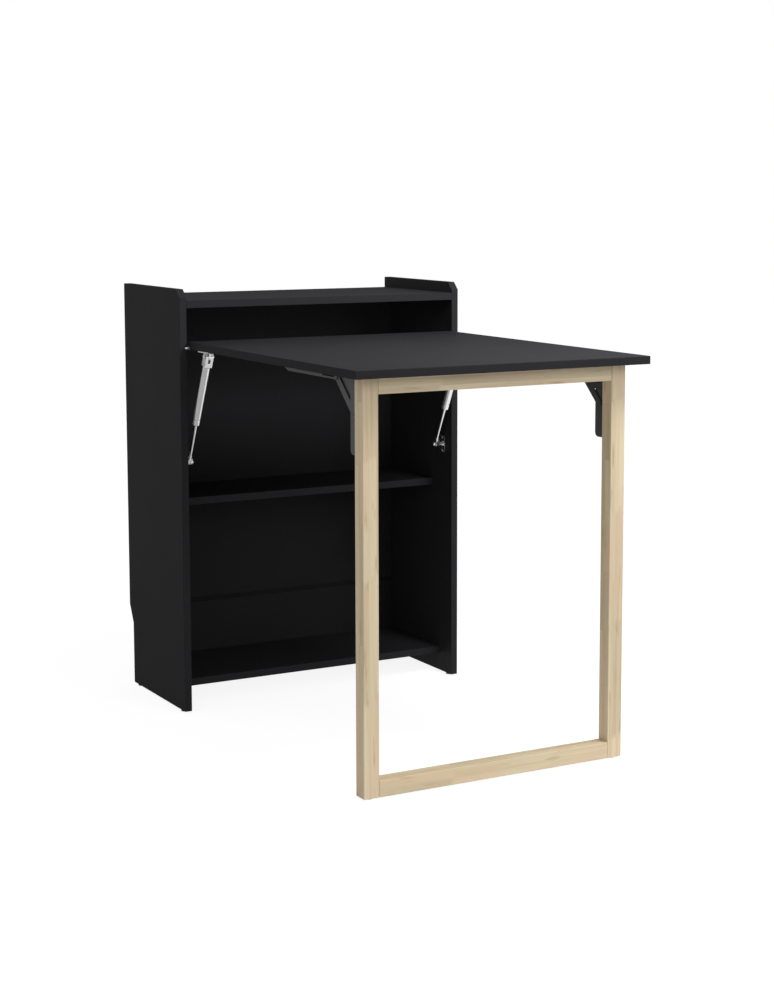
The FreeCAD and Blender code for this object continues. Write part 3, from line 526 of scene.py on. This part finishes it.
class Palette:
    """All finishes, made once and shared by the pieces."""

    def __init__(self) -> None:
        """Makes each material."""
        self.board = BoardFinish().make()
        self.sheet = BoardFinish("black backing sheet", (0.0155, 0.0152, 0.0168), 0.55, 0.62, 1100.0,
                                 0.00005).make()
        self.plastic = CoatFinish("black moulded plastic", (0.018, 0.018, 0.019), 0.5, 700.0, 0.00004).make()
        self.strip = CoatFinish("dull black strip", (0.0115, 0.0113, 0.0124), 0.6, 700.0, 0.00003,
                                0.03).make()
        self.dowel = WoodFinish(Grain.ACROSS, "beech dowel", (0.66, 0.48, 0.30),
                                (0.56, 0.39, 0.23)).make()
        self.zinc = MetalFinish("zinc plate", (0.84, 0.845, 0.85), 0.20, 0.32).make()
        self.tube = MetalFinish("satin silver tube", (0.80, 0.805, 0.815), 0.10, 0.15, 1400.0, 0.000002,
                                0.8).make()
        self.screw = MetalFinish("dull screw steel", (0.34, 0.34, 0.35), 0.32, 0.44).make()
        self.chrome = MetalFinish("polished rod", (0.86, 0.865, 0.87), 0.07, 0.12, 300.0, 0.000002).make()
        self.steel = CoatFinish("black powder coat", (0.056, 0.056, 0.058), 0.42, 900.0, 0.00006).make()
        self.rubber = CoatFinish("black seal", (0.015, 0.015, 0.015), 0.6, 900.0, 0.00003).make()
        self.upright = WoodFinish(Grain.UPRIGHT).make()
        self.across = WoodFinish(Grain.ACROSS).make()


class Bench:
    """Makes pieces, dresses them and ties them to the bodies of the frame."""

    def __init__(self, palette: Palette) -> None:
        """Keeps the palette.

        Args:
            palette: The finishes.
        """
        self.palette = palette

    def finish(self, mesh: bmesh.types.BMesh, name: str, material: bpy.types.Material, slot: Slot, body: str,
               stands_for: Iterable[str] = ()) -> bpy.types.Object:
        """Turns a bmesh into a finished piece that rides on a body.

        Args:
            mesh: The shape in its place; it is freed.
            name: The piece's name.
            material: Its finish.
            slot: Not used.
            body: The body that it moves with.
            stands_for: CAD nodes that it takes the place of.

        Returns:
            The piece.
        """
        for face in mesh.faces:
            face.smooth = True
        for edge in mesh.edges:
            edge.smooth = len(edge.link_faces) == 2 and edge.calc_face_angle(0.0) < CREASE
        data = bpy.data.meshes.new(name)
        mesh.to_mesh(data)
        mesh.free()
        data.materials.append(material)
        piece = bpy.data.objects.new(name, data)
        bpy.context.scene.collection.objects.link(piece)
        weighted = piece.modifiers.new("even_normals", "WEIGHTED_NORMAL")
        weighted.keep_sharp = True
        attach(piece, body)
        if stands_for:
            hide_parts(*stands_for)
        LOG.info("piece %s on %s, %d faces", name, body, len(data.polygons))
        return piece

    def merged(self, node: str) -> bmesh.types.BMesh:
        """A merged copy of a CAD node, with flat faces made whole.

        Args:
            node: The node's name.

        Returns:
            The copy.
        """
        mesh = bmesh.new()
        mesh.from_mesh(NODES[node].data)
        bmesh.ops.remove_doubles(mesh, verts=mesh.verts, dist=WELD)
        bmesh.ops.dissolve_limit(mesh, angle_limit=FLAT, use_dissolve_boundaries=False,
                                 verts=mesh.verts, edges=mesh.edges)
        return mesh

    def eased(self, node: str, radius: float, material: bpy.types.Material, slot: Slot, segments: int = 2,
              least: float = 0.003, sharp: float = 50.0) -> bpy.types.Object:
        """A CAD node's shape with its hard edges rounded over.

        Args:
            node: The node's name.
            radius: The rounding's width.
            material: Its finish.
            slot: Its material slot.
            segments: Steps in the rounding.
            least: The shortest edge that is rounded.
            sharp: The angle in degrees from which an edge counts as hard.

        Returns:
            The piece.
        """
        mesh = self.merged(node)
        hard = [edge for edge in mesh.edges
                if len(edge.link_faces) == 2 and edge.calc_length() >= least
                and edge.calc_face_angle(0.0) > math.radians(sharp)]
        bmesh.ops.bevel(mesh, geom=hard, offset=radius, offset_type="OFFSET", segments=segments, profile=0.5,
                        affect="EDGES", clamp_overlap=True, material=-1)
        body = NODES[node]["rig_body"]
        return self.finish(mesh, f"{node}_eased", material, slot, body, [node])


class Shapes:
    """Turned and bent shapes that several pieces share."""

    @staticmethod
    def turned(outline: Sequence[tuple[float, float]], steps: int = 32) -> bmesh.types.BMesh:
        """A shape turned about Z.

        Args:
            outline: Pairs of radius and height, in order.
            steps: Faces round the turn.

        Returns:
            The shape, at the origin.
        """
        mesh = bmesh.new()
        points = [mesh.verts.new((radius, 0.0, height)) for radius, height in outline]
        lines = [mesh.edges.new(pair) for pair in zip(points, points[1:])]
        bmesh.ops.spin(mesh, geom=points + lines, cent=(0, 0, 0), axis=(0, 0, 1), angle=math.tau, steps=steps,
                       use_merge=True, use_duplicate=False)
        bmesh.ops.remove_doubles(mesh, verts=mesh.verts, dist=1e-6)
        bmesh.ops.recalc_face_normals(mesh, faces=mesh.faces)
        return mesh

    @staticmethod
    def set_on(mesh: bmesh.types.BMesh, place: Vector, direction: Vector) -> bmesh.types.BMesh:
        """Moves a shape so that its origin lies at a place and its +Z points along a direction.

        Args:
            mesh: The shape.
            place: Where its origin goes.
            direction: Where its +Z points.

        Returns:
            The same shape.
        """
        turn = direction.to_track_quat("Z", "Y").to_matrix().to_4x4()
        bmesh.ops.transform(mesh, matrix=Matrix.Translation(place) @ turn, verts=mesh.verts)
        return mesh

    @staticmethod
    def gathered(meshes: Iterable[bmesh.types.BMesh]) -> bmesh.types.BMesh:
        """Several shapes in one bmesh.

        Args:
            meshes: The shapes; they are freed.

        Returns:
            The whole.
        """
        whole = bmesh.new()
        for mesh in meshes:
            data = bpy.data.meshes.new("passing")
            mesh.to_mesh(data)
            mesh.free()
            whole.from_mesh(data)
            bpy.data.meshes.remove(data)
        return whole

    @staticmethod
    def carved(base: bmesh.types.BMesh, tool: bmesh.types.BMesh) -> bmesh.types.BMesh:
        """A shape with another taken out of it.

        Args:
            base: The shape; it is freed.
            tool: What is taken out; it is freed.

        Returns:
            What is left.
        """
        things = []
        for label, mesh in (("base", base), ("tool", tool)):
            data = bpy.data.meshes.new(label)
            mesh.to_mesh(data)
            mesh.free()
            thing = bpy.data.objects.new(label, data)
            bpy.context.scene.collection.objects.link(thing)
            things.append(thing)
        carve = things[0].modifiers.new("carve", "BOOLEAN")
        carve.operation, carve.solver, carve.object = "DIFFERENCE", "EXACT", things[1]
        shown = things[0].evaluated_get(bpy.context.evaluated_depsgraph_get())
        result = bmesh.new()
        result.from_mesh(shown.to_mesh())
        shown.to_mesh_clear()
        for thing in things:
            data = thing.data
            bpy.data.objects.remove(thing)
            bpy.data.meshes.remove(data)
        return result


@dataclass
class Fastener:
    """Where one screw of a CAD group lies."""

    seat: Vector
    outward: Vector


@dataclass
class ScrewKit:
    """Pan-head screws with a cross recess, set where the CAD's plain screws are."""

    bench: Bench
    head_radius: float = 0.0038
    head_height: float = 0.0022
    shank_radius: float = 0.0018
    shank_length: float = 0.011
    recess_reach: float = 0.0022
    recess_width: float = 0.0008
    recess_depth: float = 0.0013

    def places(self, node: str) -> list[Fastener]:
        """Finds the screws of a CAD group.

        Args:
            node: The group's name.

        Returns:
            Each screw's seat, under its head, and the way that its head faces.
        """
        mesh = self.bench.merged(node)
        left, found = set(mesh.verts), []
        while left:
            island, front = set(), [left.pop()]
            while front:
                vertex = front.pop()
                island.add(vertex)
                near = {edge.other_vert(vertex) for edge in vertex.link_edges} & left
                left -= near
                front.extend(near)
            low = Vector(min(v.co[k] for v in island) for k in range(3))
            high = Vector(max(v.co[k] for v in island) for k in range(3))
            axis = max(range(3), key=lambda k: high[k] - low[k])
            middle = (low + high) / 2
            wide = [v.co[axis] for v in island
                    if (v.co - middle).length_squared - (v.co[axis] - middle[axis]) ** 2
                    > (self.head_radius * 0.9) ** 2]
            outward = Vector((0, 0, 0))
            outward[axis] = 1 if sum(wide) / len(wide) > middle[axis] else -1
            end = high[axis] if outward[axis] > 0 else low[axis]
            seat = middle.copy()
            seat[axis] = end - outward[axis] * self.head_height
            found.append(Fastener(seat, outward))
        mesh.free()
        return found

    def screw(self) -> bmesh.types.BMesh:
        """Makes one screw.

        Returns:
            The screw, with its seat at the origin and its head along +Z.
        """
        r, h = self.head_radius, self.head_height
        outline = [(0.0, -self.shank_length), (self.shank_radius * 0.4, -self.shank_length + 0.0004),
                   (self.shank_radius, -self.shank_length + 0.003), (self.shank_radius, 0.0), (r, 0.0),
                   (r, h * 0.35), (r * 0.93, h * 0.68), (r * 0.72, h * 0.92), (r * 0.4, h), (0.0, h)]
        body = Shapes.turned(outline, 24)
        for angle in (0.0, math.pi / 2):
            bar = bmesh.new()
            bmesh.ops.create_cube(bar, size=1.0)
            bmesh.ops.scale(bar, vec=(2 * self.recess_reach, self.recess_width, 2 * self.recess_depth),
                            verts=bar.verts)
            bmesh.ops.rotate(bar, cent=(0, 0, 0), matrix=Matrix.Rotation(angle, 3, "Z"), verts=bar.verts)
            bmesh.ops.translate(bar, vec=(0, 0, h), verts=bar.verts)
            body = Shapes.carved(body, bar)
        return body

    def build(self, node: str, material: bpy.types.Material, slot: Slot) -> None:
        """Makes the screws of one CAD group.

        Args:
            node: The group's name.
            material: Their finish.
            slot: Their material slot.
        """
        copies = [Shapes.set_on(self.screw(), place.seat, place.outward) for place in self.places(node)]
        body = NODES[node]["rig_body"]
        self.bench.finish(Shapes.gathered(copies), f"{node}_crossed", material, slot, body, [node])


@dataclass
class Carcass:
    """The cabinet: sides, shelves, back sheets, glides and the fittings fixed to them."""

    bench: Bench
    screws: ScrewKit
    board_round: float = 0.0006
    metal_round: float = 0.0003
    boards: tuple[str, ...] = ("side_panel_left", "side_panel_right", "top_shelf", "middle_shelf",
                               "bottom_shelf")
    sheets: tuple[str, ...] = ("back_panel_upper", "back_panel_lower")
    zinc: tuple[str, ...] = ("cam_locks", "cam_bolts", "strut_foot_left", "strut_foot_right")
    steel: tuple[str, ...] = ("pivot_plate_left", "pivot_plate_right")

    def build(self) -> None:
        """Builds and dresses every piece of the cabinet."""
        palette = self.bench.palette
        for node in self.boards:
            self.bench.eased(node, self.board_round, palette.board, Slot.BOARD, least=0.012)
        for node in self.sheets:
            self.bench.eased(node, self.metal_round, palette.sheet, Slot.SHEET)
        self.bench.eased("back_joint_strip", self.metal_round, palette.strip, Slot.PLASTIC)
        self.bench.eased("cabinet_glides", self.board_round, palette.plastic, Slot.PLASTIC, least=0.0005)
        self.bench.eased("shelf_dowels", self.board_round, palette.dowel, Slot.DOWEL, least=0.0003)
        for node in self.zinc:
            self.bench.eased(node, self.metal_round, palette.zinc, Slot.ZINC, least=0.0004)
        for node in self.steel:
            self.bench.eased(node, self.metal_round, palette.steel, Slot.STEEL, least=0.0004)
        self.screws.build("strut_foot_screws", palette.screw, Slot.SCREW)
        self.screws.build("pivot_plate_screws", palette.steel, Slot.STEEL)


@dataclass
class DeskLeaf:
    """The desk top with its pins, its strut brackets and the slotted arms under it."""

    bench: Bench
    screws: ScrewKit
    board_round: float = 0.0007
    metal_round: float = 0.0003
    rivet_round: float = 0.0008

    def build(self) -> None:
        """Builds and dresses every piece of the desk top."""
        palette = self.bench.palette
        self.bench.eased("desk_top", self.board_round, palette.board, Slot.BOARD, least=0.05, sharp=30)
        for side in SIDES:
            self.bench.eased(f"pivot_pin_{side}", self.rivet_round, palette.zinc, Slot.ZINC, 3, 0.0004)
            self.bench.eased(f"strut_bracket_{side}", self.metal_round, palette.zinc, Slot.ZINC, least=0.0006)
            self.bench.eased(f"table_arm_{side}", self.metal_round, palette.steel, Slot.STEEL, least=0.0006)
        self.bench.eased("strut_bracket_pins", self.rivet_round, palette.zinc, Slot.ZINC, 3, 0.0004)
        self.bench.eased("leg_pivot_pins", self.rivet_round, palette.steel, Slot.STEEL, 3, 0.0004)
        self.screws.build("strut_bracket_screws", palette.screw, Slot.SCREW)
        self.screws.build("table_arm_screws", palette.steel, Slot.STEEL)


@dataclass
class LegFrame:
    """The wooden frame with its glides, the plates on its legs and the braces."""

    bench: Bench
    screws: ScrewKit
    wood_round: float = 0.0013
    metal_round: float = 0.0003
    rivet_round: float = 0.0008

    def build(self) -> None:
        """Builds and dresses every piece of the leg frame."""
        palette = self.bench.palette
        for side in SIDES:
            self.bench.eased(f"leg_{side}", self.wood_round, palette.upright, Slot.WOOD, 3, 0.02)
            self.bench.eased(f"leg_arm_{side}", self.metal_round, palette.steel, Slot.STEEL, least=0.0006)
            self.bench.eased(f"brace_{side}", self.metal_round, palette.steel, Slot.STEEL, least=0.0006)
        for node in ("frame_top_rail", "frame_bottom_rail"):
            self.bench.eased(node, self.wood_round, palette.across, Slot.WOOD, 3, 0.02)
        self.bench.eased("frame_dowels", self.wood_round / 2, palette.dowel, Slot.DOWEL, least=0.0003)
        self.bench.eased("leg_glides", self.wood_round / 2, palette.plastic, Slot.PLASTIC, least=0.0004)
        self.bench.eased("brace_pins", self.rivet_round, palette.steel, Slot.STEEL, 3, 0.0004)
        self.screws.build("leg_arm_screws", palette.steel, Slot.STEEL)


@dataclass
class GasStrut:
    """A gas strut: rolled cylinder, polished rod, end fittings, seal and spring clip."""

    bench: Bench
    side: str
    line: float = 0.2855
    upper: tuple[float, float] = (0.1405, 0.725)
    lower: tuple[float, float] = (0.2455, 0.505)
    tube_radius: float = 0.0075
    tube_top: float = 0.022
    tube_reach: float = 0.156
    rod_radius: float = 0.003
    socket_length: float = 0.016
    groove_depth: float = 0.0008
    groove_back: float = 0.0125
    rod_gap: float = 0.00005
    rod_hidden: float = 0.016
    rod_chamfer: float = 0.0003
    fitting_round: float = 0.0005
    seal_gap: float = 0.0001
    seal_radius: float = 0.0046
    clip_radius: float = 0.0060
    clip_wire: float = 0.0006
    clip_sweep: float = 260.0
    clip_inward: float = 0.0012
    socket_half: float = 0.0045
    cap_radius: float = 0.0046
    cap_height: float = 0.0034

    @property
    def top(self) -> Vector:
        """The upper pin's middle."""
        return Vector((SIDES[self.side] * self.line, *self.upper))

    @property
    def down(self) -> Vector:
        """The way from the upper pin to the lower stud."""
        return (Vector((0, *self.lower)) - Vector((0, *self.upper))).normalized()

    @property
    def length(self) -> float:
        """The strut's length between its pins."""
        return math.dist(self.upper, self.lower)

    def tube(self) -> bmesh.types.BMesh:
        """Makes the cylinder with its rolled groove and crimped rim.

        Returns:
            The cylinder along +Z, with the upper pin at the origin.
        """
        r, top, end, deep = self.tube_radius, self.tube_top, self.tube_reach, self.groove_depth
        groove, mouth = end - self.groove_back, self.rod_radius + self.rod_gap
        outline = [(0, top), (r * 0.62, top), (r * 0.82, top + 0.0006), (r * 0.95, top + 0.0016),
                   (r, top + 0.0032), (r, groove - 0.0022), (r - deep * 0.5, groove - 0.0013),
                   (r - deep, groove), (r - deep * 0.5, groove + 0.0013), (r, groove + 0.0022),
                   (r, end - 0.0022), (r * 0.95, end - 0.001), (r * 0.8, end - 0.0002), (r * 0.7, end),
                   (r * 0.62, end - 0.0004),
                   (mouth + 0.0006, end - 0.0004), (mouth, end - 0.001)]
        return Shapes.turned(outline, 48)

    def build(self) -> None:
        """Builds and dresses the strut's pieces."""
        palette, side = self.bench.palette, self.side
        tube = Shapes.set_on(self.tube(), self.top, self.down)
        self.bench.finish(tube, f"strut_tube_{side}", palette.tube, Slot.TUBE, f"{side}_cylinder",
                          [f"strut_cylinder_{side}"])
        hole = self.rod_radius + self.seal_gap
        seal = Shapes.turned([(hole, -0.0003), (self.seal_radius, -0.0003), (self.seal_radius, 0.0006),
                              (self.seal_radius - 0.0008, 0.0011), (hole, 0.0011), (hole, -0.0003)])
        Shapes.set_on(seal, self.top + self.down * self.tube_reach, self.down)
        self.bench.finish(seal, f"strut_seal_{side}", palette.rubber, Slot.PLASTIC, f"{side}_cylinder")
        low, high = self.length - self.socket_length, self.tube_reach - self.rod_hidden
        r, cut = self.rod_radius, self.rod_chamfer
        bar = Shapes.turned([(0, high), (r - cut, high), (r, high + cut), (r, low), (0, low)])
        Shapes.set_on(bar, self.top, self.down)
        self.bench.finish(bar, f"strut_bar_{side}", palette.chrome, Slot.CHROME, f"{side}_rod",
                          [f"strut_rod_{side}"])
        for node in (f"strut_fork_{side}", f"strut_rod_end_{side}"):
            self.bench.eased(node, self.fitting_round, palette.zinc, Slot.ZINC, 3, 0.0004)
        self.bench.finish(self.clip(), f"strut_clip_{side}", palette.zinc, Slot.ZINC, f"{side}_rod")
        self.bench.finish(self.cap(), f"strut_cap_{side}", palette.zinc, Slot.ZINC, f"{side}_rod")

    def cap(self) -> bmesh.types.BMesh:
        """Makes the domed cap of the socket.

        Returns:
            The cap, on the socket's inner face.
        """
        r, h = self.cap_radius, self.cap_height
        cap = Shapes.turned([(0, 0), (r * 0.96, 0), (r, h * 0.1), (r, h * 0.62), (r * 0.9, h * 0.85),
                             (r * 0.62, h), (0, h)])
        face = Vector((SIDES[self.side] * (self.line - self.socket_half), *self.lower))
        return Shapes.set_on(cap, face, Vector((-SIDES[self.side], 0, 0)))

    def clip(self) -> bmesh.types.BMesh:
        """Makes the wire spring that keeps the socket on its stud.

        Returns:
            The spring, round the socket.
        """
        mesh = bmesh.new()
        ring = bmesh.ops.create_circle(mesh, cap_ends=False, radius=self.clip_wire, segments=10)["verts"]
        bmesh.ops.rotate(mesh, cent=(0, 0, 0), matrix=Matrix.Rotation(math.pi / 2, 3, "X"), verts=ring)
        bmesh.ops.translate(mesh, vec=(self.clip_radius, 0, 0), verts=ring)
        start = Matrix.Rotation(math.radians(180 - self.clip_sweep / 2), 3, "Z")
        bmesh.ops.rotate(mesh, cent=(0, 0, 0), matrix=start, verts=ring)
        bmesh.ops.spin(mesh, geom=ring + list(mesh.edges), cent=(0, 0, 0), axis=(0, 0, 1),
                       angle=math.radians(self.clip_sweep), steps=26, use_duplicate=False)
        bmesh.ops.holes_fill(mesh, edges=mesh.edges, sides=12)
        place = Vector((SIDES[self.side] * (self.line - self.clip_inward), *self.lower))
        turn = Matrix(((0, 0, 1), (self.down.y, self.down.z, 0), (self.down.z, -self.down.y, 0))).to_4x4()
        bmesh.ops.transform(mesh, matrix=Matrix.Translation(place) @ turn, verts=mesh.verts)
        bmesh.ops.recalc_face_normals(mesh, faces=mesh.faces)
        return mesh


@dataclass(frozen=True)
class Lamp:
    """A soft lamp; its breadth is an angle in degrees for a sun and a width in metres for a panel."""

    name: str
    kind: str
    place: tuple[float, float, float]
    breadth: float
    power: float
    in_gloss: bool = False


@dataclass
class Studio:
    """The pale floor, the soft lamps, the white surroundings and the camera."""

    eye: tuple[float, float, float] = (-1.7878, -3.3644, 1.0493)
    yaw: float = 29.55
    pitch: float = 6.93
    lens: float = 70.27
    sensor: float = 36.0
    far: float = 60.0
    shift: tuple[float, float] = (-0.038, -0.0739)
    floor_half: float = 9.0
    floor_tone: float = 0.8
    glow_share: float = 0.7
    glow_level: float = 1.27
    sky_level: float = 0.46
    dim_floor: tuple[float, float] = (-0.05, 0.20)
    dim_sky: tuple[float, float] = (-0.35, 0.05)
    left_share: float = 0.30
    gloss_before: float = 1.0
    gloss_behind: tuple[float, float] = (0.62, 0.19)
    side_band: tuple[float, float] = (-0.3, 0.3)
    depth_band: tuple[float, float] = (-0.1, 0.5)
    aim: tuple[float, float, float] = (0.0, 0.0, 0.45)
    lamps: tuple[Lamp, ...] = (
        Lamp("key", "SUN", (1.6, -4.4, 2.6), 30.0, 0.75, True),
        Lamp("top", "SUN", (0.2, -0.4, 3.6), 60.0, 0.03),
        Lamp("fill", "SUN", (-3.4, -2.0, 1.0), 60.0, 0.48),
        Lamp("near", "AREA", (0.35, -0.66, 1.50), 0.5, 18.6),
    )

    def camera(self) -> None:
        """Sets the camera at the photograph's viewing place."""
        data = bpy.data.cameras.new("photo_camera")
        data.sensor_width, data.lens = self.sensor, self.lens
        data.shift_x, data.shift_y = self.shift
        data.clip_end = self.far
        camera = bpy.data.objects.new("photo_camera", data)
        camera.location = self.eye
        camera.rotation_euler = (math.radians(90 - self.pitch), 0.0, math.radians(-self.yaw))
        bpy.context.scene.collection.objects.link(camera)
        bpy.context.scene.camera = camera

    def seen(self, nodes: Nodes) -> bpy.types.NodeSocket:
        """A value of 1 where the eye, a gloss or a clear piece looks, and 0 for light's own bounces.

        Args:
            nodes: The tree that the nodes go in.

        Returns:
            The value.
        """
        path = nodes.add("LightPath").outputs
        either = nodes.calc("MAXIMUM", path["Is Camera Ray"], path["Is Glossy Ray"])
        return nodes.calc("MAXIMUM", either, path["Is Transmission Ray"])

    def lit_from_right(self, nodes: Nodes, place: bpy.types.NodeSocket, band: tuple[float, float],
                       level: float) -> bpy.types.NodeSocket:
        """A level that falls off to the left, but only in gloss.

        Args:
            nodes: The tree that the nodes go in.
            place: A place or a direction; its X is read.
            band: The X where the level is lowest and the X where it is full.
            level: The full level.

        Returns:
            The level.
        """
        ramp = nodes.spread(nodes.split(place)[0], level * self.left_share, level, *band)
        return nodes.pick(nodes.add("LightPath").outputs["Is Glossy Ray"], level, ramp)

    def floor(self) -> None:
        """Lays the pale floor, which keeps the object's shadow and reads as white."""
        mesh = bmesh.new()
        bmesh.ops.create_grid(mesh, x_segments=1, y_segments=1, size=self.floor_half)
        data = bpy.data.meshes.new("floor")
        mesh.to_mesh(data)
        mesh.free()
        material = bpy.data.materials.new("pale floor")
        material.use_nodes = True
        nodes = Nodes(material.node_tree)
        matt, glow, mix = nodes.add("BsdfDiffuse"), nodes.add("Emission"), nodes.add("MixShader")
        spot = nodes.add("TexCoord").outputs["Object"]
        nodes.feed(matt.inputs["Color"], tone(1, 1, 1, self.floor_tone))
        nodes.feed(glow.inputs["Color"], tone(1, 1, 1))
        nodes.feed(glow.inputs["Strength"], self.lit_from_right(nodes, spot, self.dim_floor, self.glow_level))
        share = nodes.calc("MULTIPLY", self.seen(nodes), self.glow_share)
        for socket, value in zip(mix.inputs, (share, matt.outputs[0], glow.outputs[0])):
            nodes.feed(socket, value)
        nodes.feed(nodes.add("OutputMaterial").inputs["Surface"], mix.outputs[0])
        data.materials.append(material)
        plane = bpy.data.objects.new("floor", data)
        bpy.context.scene.collection.objects.link(plane)

    def surroundings(self) -> None:
        """Makes the surroundings white to the eye, soft to the object and dim behind it in its gloss."""
        world = bpy.data.worlds.new("surroundings")
        world.use_nodes = True
        nodes = Nodes(world.node_tree)
        path, way = nodes.add("LightPath").outputs, nodes.add("TexCoord").outputs["Generated"]
        x, y, _ = nodes.split(way)
        before = self.lit_from_right(nodes, way, self.dim_sky, self.gloss_before)
        behind = nodes.spread(x, *self.gloss_behind, *self.side_band)
        around = nodes.pick(nodes.spread(y, 0.0, 1.0, *self.depth_band), before, behind)
        gloss = nodes.pick(path["Is Glossy Ray"], self.sky_level, around)
        straight = nodes.calc("MAXIMUM", path["Is Camera Ray"], path["Is Transmission Ray"])
        sky = nodes.add("Background")
        nodes.feed(sky.inputs["Color"], tone(1, 1, 1))
        nodes.feed(sky.inputs["Strength"], nodes.pick(straight, gloss, 1.0))
        nodes.feed(nodes.add("OutputWorld").inputs["Surface"], sky.outputs[0])
        bpy.context.scene.world = world

    def lights(self) -> None:
        """Hangs the soft lamps, each aimed at the desk."""
        for lamp in self.lamps:
            data = bpy.data.lights.new(lamp.name, lamp.kind)
            data.energy = lamp.power
            if lamp.kind == "SUN":
                data.angle = math.radians(lamp.breadth)
            else:
                data.shape, data.size = "DISK", lamp.breadth
            hung = bpy.data.objects.new(lamp.name, data)
            hung.location = lamp.place
            hung.visible_camera, hung.visible_glossy = False, lamp.in_gloss
            aim = Vector(self.aim) - Vector(lamp.place)
            hung.rotation_euler = aim.to_track_quat("-Z", "Y").to_euler()
            bpy.context.scene.collection.objects.link(hung)

    def build(self) -> None:
        """Sets up the whole studio."""
        self.camera()
        self.floor()
        self.surroundings()
        self.lights()
        bpy.context.scene.view_settings.view_transform = "Standard"


def main() -> None:
    """Builds every sub-assembly in order, then the studio."""
    logging.basicConfig(level=logging.INFO, format="%(name)s %(message)s")
    bench = Bench(Palette())
    screws = ScrewKit(bench)
    for assembly in (Carcass(bench, screws), DeskLeaf(bench, screws), LegFrame(bench, screws),
                     GasStrut(bench, "left"), GasStrut(bench, "right")):
        LOG.info("building %s", type(assembly).__name__)
        assembly.build()
    Studio().build()
    LOG.info("sizes written")


if __name__ == "__main__":
    main()
